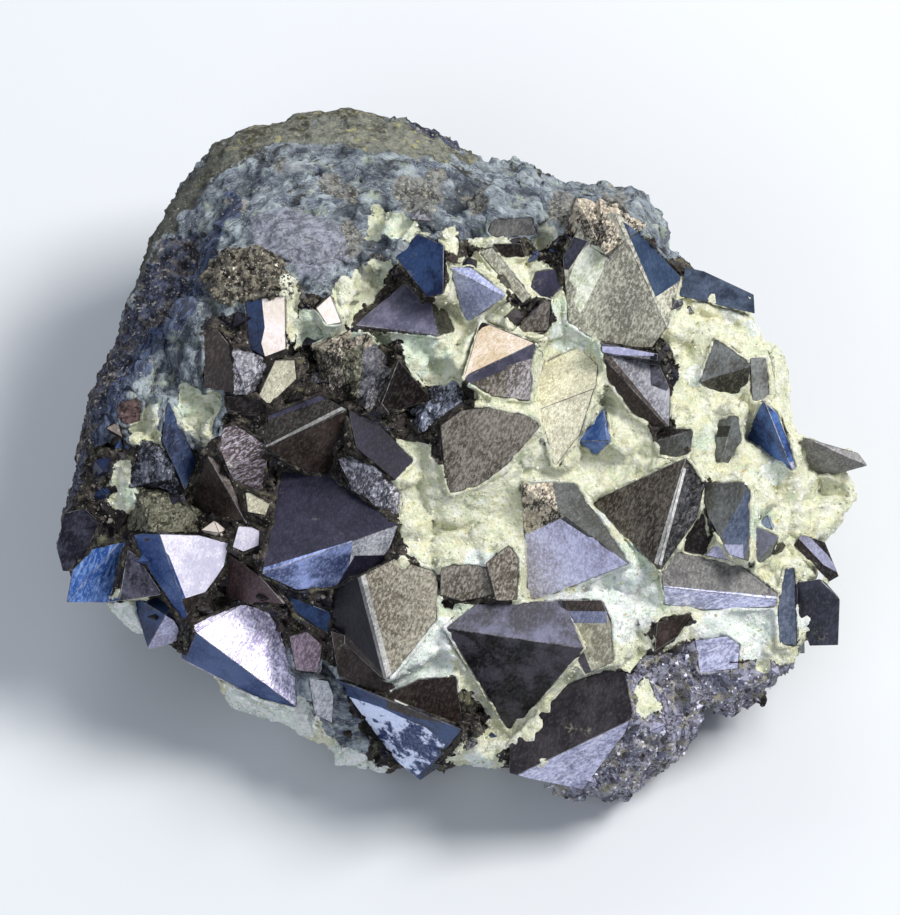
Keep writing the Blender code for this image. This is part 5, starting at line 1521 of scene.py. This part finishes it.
    def flank(self) -> Shade:
        """Dark side whose darkness is partly painted shade: blue-grey by the ledge and brown with pale
        flecks at its far edge.
        """
        grit = self.noise(1.3, 5.0, 0.78)
        brown = self.noise(3.6, 4.0, 0.75).between(0.46, 0.58) * 0.7
        blue_part = self.blend(grit, 0.4, 0.62, (30, 32, 44), (92, 98, 120))
        brown_part = self.blend(grit, 0.42, 0.6, (44, 40, 38), (122, 112, 98))
        colour = self.p.mix(brown, blue_part, brown_part)
        return self.layered(colour, (self.noise(0.75, 3.0, 0.7, 7.0), 0.58, 0.66, 0.75, (180, 176, 170)))

    def knob(self) -> Shade:
        """Rough brown-grey knob with glints."""
        colour = self.blend(self.noise(0.8, 4.0, 0.75), 0.42, 0.58, (52, 47, 42), (140, 134, 118))
        return self.layered(colour, (self.fine, 0.6, 0.68, 0.8, (204, 198, 180)))

    def pale(self) -> Shade:
        """Lumpy cream to mint matrix with rusty flecks, painted highlight on its crests, whitest places
        that are partly painted highlight, and painted shade in its hollows.
        """
        p = self.p
        mint = p.attribute("mint") + self.spread * 0.6 + (self.broad - 0.5) * 2.6
        tone = self.noise(1.8, 5.0, 0.75, 21.0)
        cloud = self.noise(1.5, 6.0, 0.8)
        grain = self.noise(0.36, 3.0, 0.7)
        colour = self.layered(
            self.blend(mint, 0.3, 0.6, (236, 234, 204), (216, 232, 216)),
            (tone, 0.5, 0.57, 0.7, (238, 240, 230)),
            (1.0 - tone, 0.5, 0.57, 0.55, (200, 214, 184)),
        )
        # Painted shade: the low places turn a duller green-grey.
        colour = p.mix(self.height.between(-0.6, -0.1), tint(218, 224, 200), colour)
        colour = self.layered(
            colour,
            (self.noise(2.6, 4.0, 0.7, 3.0), 0.52, 0.6, 0.3, (222, 212, 148)),
            # Painted highlight on the crests.
            (self.height, 0.05, 0.7, 0.4, (232, 234, 222)),
            (cloud, 0.52, 0.6, 0.4, (240, 241, 230)),
            (1.0 - cloud, 0.53, 0.62, 0.4, (194, 199, 172)),
        )
        # The whitest places, partly the matrix's own white and partly painted highlight.
        white = self.blend(cloud, 0.46, 0.54, (228, 240, 234), (252, 253, 255))
        colour = p.mix((p.attribute("white") + self.spread * 0.9).between(0.36, 0.6) * 0.92, colour, white)
        colour = self.layered(
            colour,
            (grain, 0.52, 0.62, 0.3, (244, 244, 236)),
            (1.0 - grain, 0.52, 0.62, 0.3, (180, 186, 160)),
        )
        cracks = self.ridge(self.noise(3.2, 6.0, 0.72, 31.0), 0.014) * self.noise(3.4).between(0.42, 0.54)
        return self.layered(
            p.mix(cracks * 0.6, colour, tint(132, 130, 98)),
            (self.noise(0.9, 4.0, 0.78), 0.62, 0.68, 0.55, (118, 114, 84)),
            (self.noise(2.1, 5.0, 0.78), 0.64, 0.7, 0.75, (206, 168, 84)),
        )

    def dark(self) -> Shade:
        """Dark rough rock with small glints and painted shade in its hollows."""
        chips = self.p.cell_value(self.place, 1.4)
        colour = self.layered(
            self.p.mix(chips, tint(16, 13, 14), tint(70, 64, 62)),
            (self.noise(1.0, 6.0, 0.8), 0.5, 0.62, 0.7, (116, 108, 98)),
            (self.noise(2.6, 5.0, 0.75), 0.54, 0.62, 0.6, (122, 122, 96)),
        )
        blue = self.noise(3.0, 4.0, 0.7, 9.0).between(0.54, 0.62) * 0.35
        colour = self.p.mix(blue, colour, self.p.mix(chips, tint(20, 28, 54), tint(58, 74, 112)))
        return self.layered(
            colour,
            # Painted shade in the low places.
            (0.2 - self.height, 0.0, 0.8, 0.8, (12, 10, 11)),
            (self.fine, 0.64, 0.7, 1.0, (186, 182, 176)),
        )

    def ore(self) -> Shade:
        """Granular grey-lavender ore with white glints."""
        grit = self.noise(1.1, 5.0, 0.78)
        return self.layered(
            self.p.mix(self.p.cell_value(self.place, 0.7), tint(88, 86, 100), tint(160, 162, 184)),
            (1.0 - grit, 0.52, 0.62, 1.0, (62, 58, 66)),
            (self.noise(2.6, 5.0, 0.78), 0.5, 0.58, 0.7, (164, 158, 126)),
            (self.noise(2.0, 5.0, 0.78, 13.0), 0.52, 0.6, 0.5, (196, 196, 206)),
            (self.fine, 0.6, 0.68, 0.7, (232, 230, 244)),
        )


@dataclass(frozen=True)
class Grains:
    """Small grains scattered over one kind of rock.

    Args:
        name: Name of the piece.
        density: Grains on a square millimetre.
        sizes: Least and greatest radius, in millimetres.
        tones: Darkest and lightest colour, on a screen.
        glint: Colour of the few bright ones, on a screen.
        seed: Seed of the scatter.
        clear: How far they keep from the crystals, in millimetres.
        sharp: Whether they are octahedra rather than round crumbs.
        rough: Roughness.
    """

    name: str
    density: float
    sizes: tuple
    tones: tuple
    glint: tuple
    seed: int
    clear: float = 0.2
    sharp: bool = True
    rough: float = 0.35

    def build(self, rock: bpy.types.Mesh, chosen: np.ndarray, slot: str) -> bpy.types.Object:
        """Scatters the grains.

        Args:
            rock: The rock's surface.
            chosen: Which of its faces carry grains.
            slot: The record's slot for their finish, which is not used.

        Returns:
            The finished piece.
        """
        tree = self.tree()
        values = {
            "Density": self.density / MM**2, "Smallest": self.sizes[0] * MM,
            "Largest": self.sizes[1] * MM, "Seed": self.seed,
        }
        settings = {"node_group": tree}
        for item in tree.interface.items_tree:
            if item.name in values:
                settings[item.identifier] = values[item.name]
        mesh = changed(self.ground(rock, chosen), "NODES", settings)
        mesh.name = self.name
        made = placed(self.name, mesh)
        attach(made, "root")
        return made

    @staticmethod
    def ground(rock: bpy.types.Mesh, chosen: np.ndarray) -> bpy.types.Mesh:
        """A copy of the rock's chosen faces."""
        part = bmesh.new()
        part.from_mesh(rock)
        part.faces.ensure_lookup_table()
        bare = [face for face, keeps in zip(part.faces, chosen) if not keeps]
        bmesh.ops.delete(part, geom=bare, context="FACES")
        mesh = bpy.data.meshes.new("ground")
        part.to_mesh(mesh)
        part.free()
        return mesh

    def tree(self) -> bpy.types.NodeTree:
        """The node tree that scatters the grains."""
        tree = bpy.data.node_groups.new(self.name, "GeometryNodeTree")
        sockets = {
            "Geometry": "Geometry", "Density": "Float", "Smallest": "Float", "Largest": "Float",
            "Seed": "Int",
        }
        for name, kind in sockets.items():
            tree.interface.new_socket(name, in_out="INPUT", socket_type="NodeSocket" + kind)
        tree.interface.new_socket("Geometry", in_out="OUTPUT", socket_type="NodeSocketGeometry")
        p = Painter(tree)
        given = p.node("NodeGroupInput")
        ground, density, smallest, largest, seed = (p.shade(given, name) for name in sockets)
        spots = {"Mesh": ground, "Density": density, "Seed": seed}
        spread = p.math("POWER", self.random(p, self.seed + 1, 1.0), 2.5)
        size = {"Value": spread, "To Min": smallest, "To Max": largest}
        form = self.random(p, self.seed + 3, (1.2, 1.2, 1.2), (0.45, 0.45, 0.45))
        grains = {
            "Points": p.result("Points", "GeometryNodeDistributePointsOnFaces", {}, spots),
            "Instance": self.shape(p),
            "Rotation": self.random(p, 0, (2 * pi, 2 * pi, 2 * pi), (0, 0, 0)),
            "Scale": p.vector_math("MULTIPLY", form, p.result("Result", "ShaderNodeMapRange", {}, size)),
        }
        whole = p.result("Instances", "GeometryNodeInstanceOnPoints", {}, grains)
        shade = {"Geometry": whole, "Name": "shade", "Value": self.random(p, self.seed + 2, 1.0)}
        kept = {"data_type": "FLOAT", "domain": "INSTANCE"}
        whole = p.result("Geometry", "GeometryNodeStoreNamedAttribute", kept, shade)
        whole = p.result("Geometry", "GeometryNodeRealizeInstances", {}, {"Geometry": whole})
        dress = {"Geometry": whole, "Material": self.material()}
        whole = p.result("Geometry", "GeometryNodeSetMaterial", {}, dress)
        p.node("NodeGroupOutput", {}, {"Geometry": whole})
        return tree

    @staticmethod
    def random(p: Painter, seed: int, high: object, low: object = 0.0) -> Shade:
        """A random number from low to high for each grain, or three of them."""
        kind = "FLOAT_VECTOR" if isinstance(high, tuple) else "FLOAT"
        limits = {"Min": low, "Max": high, "Seed": seed}
        return p.result("Value", "FunctionNodeRandomValue", {"data_type": kind}, limits)

    def shape(self, p: Painter) -> Shade:
        """One grain with a radius of 1."""
        if self.sharp:
            form = {"Segments": 4, "Rings": 2, "Radius": 1.0}
            return p.result("Mesh", "GeometryNodeMeshUVSphere", {}, form)
        return p.result("Mesh", "GeometryNodeMeshIcoSphere", {}, {"Radius": 1.0, "Subdivisions": 1})

    def material(self) -> bpy.types.Material:
        """The grains' material."""
        made, p = new_material(self.name + "_finish")
        place = p.place_mm()
        shade = p.attribute("shade")
        mottle = p.noise(place, 0.4, 3.0, 0.6)
        colour = p.mix((shade + mottle - 0.5).between(0.1, 0.9), tint(*self.tones[0]), tint(*self.tones[1]))
        colour = p.mix(shade.between(0.84, 0.9), colour, tint(*self.glint))
        p.surface(colour, self.rough, 0.1, p.bump(mottle, 0.4, 0.05), 0.5)
        return made


GRAINS = (
    Grains("dark_druse", 0.12, (0.5, 1.3), ((20, 17, 20), (84, 80, 84)), (66, 84, 128), 3, 1.2),
    Grains("dark_grains", 1.6, (0.12, 0.45), ((24, 20, 20), (96, 90, 82)), (128, 122, 112), 5, 0.6),
    Grains("ore_druse", 0.35, (0.35, 0.9), ((60, 58, 68), (148, 148, 170)), (226, 226, 242), 7, 0.8),
    Grains("ore_grains", 4.0, (0.1, 0.36), ((78, 74, 80), (160, 158, 176)), (220, 220, 234), 9, 0.3),
    Grains(
        "pale_crumbs", 0.8, (0.08, 0.24), ((176, 178, 140), (234, 236, 222)), (250, 250, 246), 11, 0.3,
        False, 0.85,
    ),
    Grains("knob_grains", 5.0, (0.1, 0.36), ((40, 36, 32), (124, 116, 104)), (170, 162, 148), 13),
    Grains(
        "flank_flecks", 0.6, (0.08, 0.3), ((58, 56, 60), (122, 114, 104)), (164, 158, 150), 15, 0.2,
        False, 0.7,
    ),
)


@dataclass(frozen=True)
class SmallCrystal:
    """A small octahedron that stands in the rock.

    Args:
        along: Its place along the face, in millimetres.
        up: Its place up the face, in millimetres.
        size: From its middle to its corners, in millimetres.
        look: Its look.
        turns: How far it is turned about the three axes of the face, in degrees.
        lift: How many times lighter than the look it is, partly painted light and shade.
    """

    along: float
    up: float
    size: float
    look: Look
    turns: tuple
    lift: float = 1.0

    def grow(self, body: bmesh.types.BMesh, ground: BVHTree, materials: list) -> None:
        """Adds it to a mesh.

        Args:
            body: The mesh.
            ground: The rock's surface.
            materials: The looks in the order of the mesh's materials.
        """
        start = FACE.place(self.along, self.up, 40)
        foot = ground.ray_cast(start, -OUT)[0]
        if foot is None:
            return
        turned = Matrix(FACE.axes).transposed() @ Euler([radians(turn) for turn in self.turns]).to_matrix()
        corners = []
        for axis, share in zip(turned.transposed(), (1.0, 0.7, 1.25)):
            corners += [axis * share * self.size * MM, -axis * share * self.size * MM]
        points = [body.verts.new(foot + corner - OUT * 0.25 * self.size * MM) for corner in corners]
        lifts = body.faces.layers.float["lift"]
        for first in (0, 1):
            for second in (2, 3):
                for third in (4, 5):
                    face = body.faces.new((points[first], points[second], points[third]))
                    face.material_index = materials.index(self.look)
                    face[lifts] = self.lift


def small_crystals(rock: bpy.types.Object, paint: CrystalPaint) -> bpy.types.Object:
    """Makes the small octahedra between the larger crystals.

    Args:
        rock: The rock that they stand in.
        paint: Where the materials come from.

    Returns:
        The finished piece.
    """
    ground = Tops.tree_of([rock])
    looks = sorted({small.look for small in SMALL_CRYSTALS}, key=lambda look: look.name)
    body = bmesh.new()
    body.faces.layers.float.new("lift")
    for small in SMALL_CRYSTALS:
        small.grow(body, ground, looks)
    bmesh.ops.recalc_face_normals(body, faces=body.faces)
    edges = body.edges[:]
    bmesh.ops.bevel(
        body, geom=edges, offset=0.05 * MM, offset_type="OFFSET", segments=1, profile=0.5, affect="EDGES"
    )
    mesh = bpy.data.meshes.new("small_crystals")
    body.to_mesh(mesh)
    body.free()
    for look in looks:
        mesh.materials.append(paint.material(look))
    made = placed("small_crystals", mesh)
    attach(made, "root")
    return made


SMALL_CRYSTALS = tuple(SmallCrystal(*row) for row in (
    (-41, -4.2, 2, Look.DEEP_BLUE, (8, 12, 20), 0.9),
    (-40.8, -1.1, 1.8, Look.DEEP_BLUE, (12, -8, 50), 0.8),
    (-39.1, 2.3, 1.3, Look.OLIVE_DARK, (35, 40, 60)),
    (-35.8, -11.9, 1.1, Look.BLUE, (20, 20, 20)),
    (-39.5, 3.5, 1.4, Look.UMBER, (45, 50, 5)),
    (-38.6, -7.6, 1.6, Look.BLACK, (10, 40, 70)),
    (-42.4, -7.6, 1.4, Look.NIGHT, (40, 30, 50)),
    (-34.2, -18.6, 1.4, Look.BLACK, (20, 60, 30)),
    (-35, -9.4, 1.1, Look.OLIVE_DARK, (15, 35, 20)),
    (-27.7, -8.5, 1.6, Look.BLUSH, (10, 20, 0), 0.8),
    (-27.4, -6.6, 1.2, Look.BLACK, (50, 20, 15)),
    (-32.6, -5.2, 1.6, Look.NIGHT, (20, 30, 66)),
    (-27.4, -16, 1.1, Look.OLIVE_DARK, (40, 40, 40)),
    (-21.8, -16.2, 1.3, Look.BLACK, (25, 35, 15)),
    (-19.6, -19.8, 1.2, Look.UMBER, (50, 10, 30)),
    (-29, -17.6, 1.4, Look.BLACK, (33, 52, 18)),
    (-24.6, 16.2, 1.6, Look.NIGHT, (25, 35, 45)),
    (-26.6, 10.2, 1.2, Look.BLACK, (44, 15, 25)),
    (-18, 7.3, 1.3, Look.BLACK, (30, 30, 30)),
    (-16.6, 13.4, 1.3, Look.NIGHT, (15, 55, 20)),
    (-15.8, 9.2, 1.4, Look.ROUGH_GREY, (35, 25, 45)),
    (-14.4, 4.4, 1.1, Look.NAVY, (20, 35, 75)),
    (-8, 5.9, 1.1, Look.BLACK, (55, 25, 35)),
    (-4.6, 2.3, 1.1, Look.BLACK, (25, 45, 15)),
    (2.2, 22.7, 1.3, Look.NIGHT, (30, 30, 20)),
    (6, 20.6, 1.4, Look.OLIVE_DARK, (35, 45, 10)),
    (9.8, 23.6, 1.1, Look.DUSK, (20, 20, 50), 0.6),
    (0.2, 23.4, 1, Look.UMBER, (40, 35, 5)),
    (-3.6, 28.2, 1.6, Look.ROUGH_GREY, (25, 45, 15), 0.8),
    (27.6, 1.4, 1.1, Look.UMBER, (40, 25, 10)),
    (30, -10, 1.1, Look.BLACK, (20, 50, 25)),
    (37.2, -7.6, 1.4, Look.DUSTY_BLUE, (35, 20, 10)),
    (38.4, -10.6, 1.3, Look.OLIVE_DARK, (25, 35, 55)),
    (28.1, 17.4, 0.8, Look.ROUGH_GREY, (45, 35, 25)),
    (26.6, 17.9, 1.1, Look.ROUGH_GREY, (20, 30, 45)),
    (25.7, 18.8, 1, Look.OLIVE_DARK, (40, 30, 15)),
    (3.4, -30.6, 1.2, Look.BLACK, (25, 35, 5)),
    (5, -32.8, 1.1, Look.DUSK, (45, 25, 35)),
    (2.4, -33.4, 1.2, Look.ROUGH_GREY, (35, 15, 65)),
    (0.6, -29.2, 1, Look.UMBER, (15, 45, 35)),
    (-11.8, -32.5, 1, Look.UMBER, (30, 40, 10)),
    (33.6, -23.8, 1.2, Look.UMBER, (25, 45, 20)),
    (24, -31.6, 1.4, Look.LAVENDER, (20, 50, 40), 0.9),
    (16.2, -37.3, 1.3, Look.LAVENDER, (50, 30, 20)),
    (28.8, -28, 1.3, Look.GREY, (35, 20, 60)),
    (11.8, -38.2, 1.2, Look.PALE_LAVENDER, (25, 25, 45)),
))


@dataclass
class Studio:
    """Floor, lights and camera.

    Args:
        span: Width of the picture at the middle of the specimen, in millimetres.
        distance: Distance of the camera, in metres.
        floor_size: Length of the floor's side, in metres.
    """

    span: float = 108.0
    distance: float = 1.6
    floor_size: float = 12.0

    def build(self) -> None:
        """Makes the floor, the lights, the sky and the camera."""
        self.floor()
        self.light("key", (0.53, 0.14, 0.75), 0.34, 9.6, (1.0, 0.985, 0.95))
        self.light("fill", (-0.45, -0.55, 0.75), 0.6, 2.2, (0.86, 0.92, 1.0))
        self.light("back", (-0.1, 0.7, 0.6), 0.5, 1.6, (0.95, 0.97, 1.0))
        self.sky()
        self.camera()

    def floor(self) -> None:
        """A plain pale floor that runs on behind."""
        mesh = bpy.data.meshes.new("floor")
        half = self.floor_size / 2
        corners = [(-half, -half, 0), (half, -half, 0), (half, half, 0), (-half, half, 0)]
        mesh.from_pydata(corners, [], [(0, 1, 2, 3)])
        made, p = new_material("pale_floor")
        p.surface(tint(214, 217, 221), 0.85, 0.0, specular=0.2)
        mesh.materials.append(made)
        thing = placed("floor", mesh)

    @staticmethod
    def light(name: str, place: tuple, size: float, power: float, colour: tuple) -> None:
        """One square light that looks at the specimen.

        Args:
            name: Its name.
            place: Where it stands, in metres.
            size: Length of its side, in metres.
            power: Its power in watts.
            colour: Its colour.
        """
        data = bpy.data.lights.new(name, "AREA")
        data.size = size
        data.energy = power
        data.color = colour
        thing = placed(name, data)
        thing.location = place
        thing.rotation_euler = (Vector((0, 0, 0.02)) - Vector(place)).to_track_quat("-Z", "Y").to_euler()

    @staticmethod
    def sky() -> None:
        """An even pale sky."""
        world = bpy.data.worlds.new("studio")
        world.use_nodes = True
        background = world.node_tree.nodes["Background"]
        background.inputs["Color"].default_value = (0.82, 0.88, 1.0, 1.0)
        background.inputs["Strength"].default_value = 0.33
        bpy.context.scene.world = world

    def camera(self) -> None:
        """A far camera that looks straight at the leaning face."""
        data = bpy.data.cameras.new("camera")
        data.sensor_width = 36.0
        data.lens = data.sensor_width * self.distance / (self.span * MM)
        data.clip_start, data.clip_end = 0.05, 20.0
        thing = placed("camera", data)
        thing.location = FACE.place(0, 0, self.distance / MM)
        thing.rotation_euler = (-OUT).to_track_quat("-Z", "Y").to_euler()
        bpy.context.scene.camera = thing


def scattered(rock: bpy.types.Object, slot: str) -> list:
    """Scatters grains over the rock's zones.

    Args:
        rock: The rock.
        slot: The record's slot for it.

    Returns:
        The pieces of grains.
    """
    mesh = rock.data
    seen = FACE.seen(coordinates(mesh))
    facing = coordinates(mesh, normals=True) @ np.array(OUT)
    values = {}
    for name in ("host", "pale", "ore", "knob", "flank", "away"):
        layer = np.zeros(len(mesh.vertices), np.float32)
        mesh.attributes[name].data.foreach_get("value", layer)
        values[name] = layer
    dark = values["host"] + values["pale"] + values["ore"] < 0.4
    on_face = distance_inside(seen[:, :2], RIM) > 1.2
    chosen = {
        "dark_druse": dark & on_face,
        "dark_grains": dark,
        "ore_druse": (values["ore"] > 0.5) & on_face,
        "ore_grains": values["ore"] > 0.4,
        "pale_crumbs": values["pale"] > 0.6,
        "knob_grains": values["knob"] > 0.5,
        "flank_flecks": (values["flank"] > 0.5) & (values["host"] > 0.5),
    }
    corners = np.zeros(len(mesh.polygons), np.int32)
    mesh.polygons.foreach_get("loop_start", corners)
    ends = np.zeros(len(mesh.loops), np.int32)
    mesh.loops.foreach_get("vertex_index", ends)
    front = (seen[:, 2] > -8) & (facing > -0.1)
    made = []
    for grains in GRAINS:
        keeps = chosen[grains.name] & front & (values["away"] > grains.clear)
        made.append(grains.build(mesh, keeps[ends[corners]], slot))
    return made


def slot_of(record: dict, node: str) -> str:
    """The material slot of a node in the record."""
    return next(part["material_slot"] for part in record["subparts"] if part["node"] == node)


def report(piece: bpy.types.Object) -> None:
    """Logs a finished piece."""
    LOG.info("%s: %d faces", piece.name, len(piece.data.polygons))


def main() -> None:
    """Builds the specimen and the studio."""
    logging.basicConfig(level=logging.INFO, format="%(message)s")
    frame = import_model()
    bpy.context.scene.view_settings.view_transform = "Standard"
    nodes = frame["nodes"]
    solids = [solid for name, solid in nodes.items() if name != "matrix_rock"]
    paint = CrystalPaint()
    for name, (look, lift) in LOOKS.items():
        piece = Crystal(name, look, lift, FACETS.get(name, ())).build(nodes[name], paint)
        slot_of(frame["record"], name)
        report(piece)
    rock_slot = slot_of(frame["record"], "matrix_rock")
    rock = Rock().build(nodes["matrix_rock"], solids)
    for piece in (rock, *scattered(rock, rock_slot), small_crystals(rock, paint)):
        report(piece)
    Studio().build()


if __name__ == "__main__":
    main()
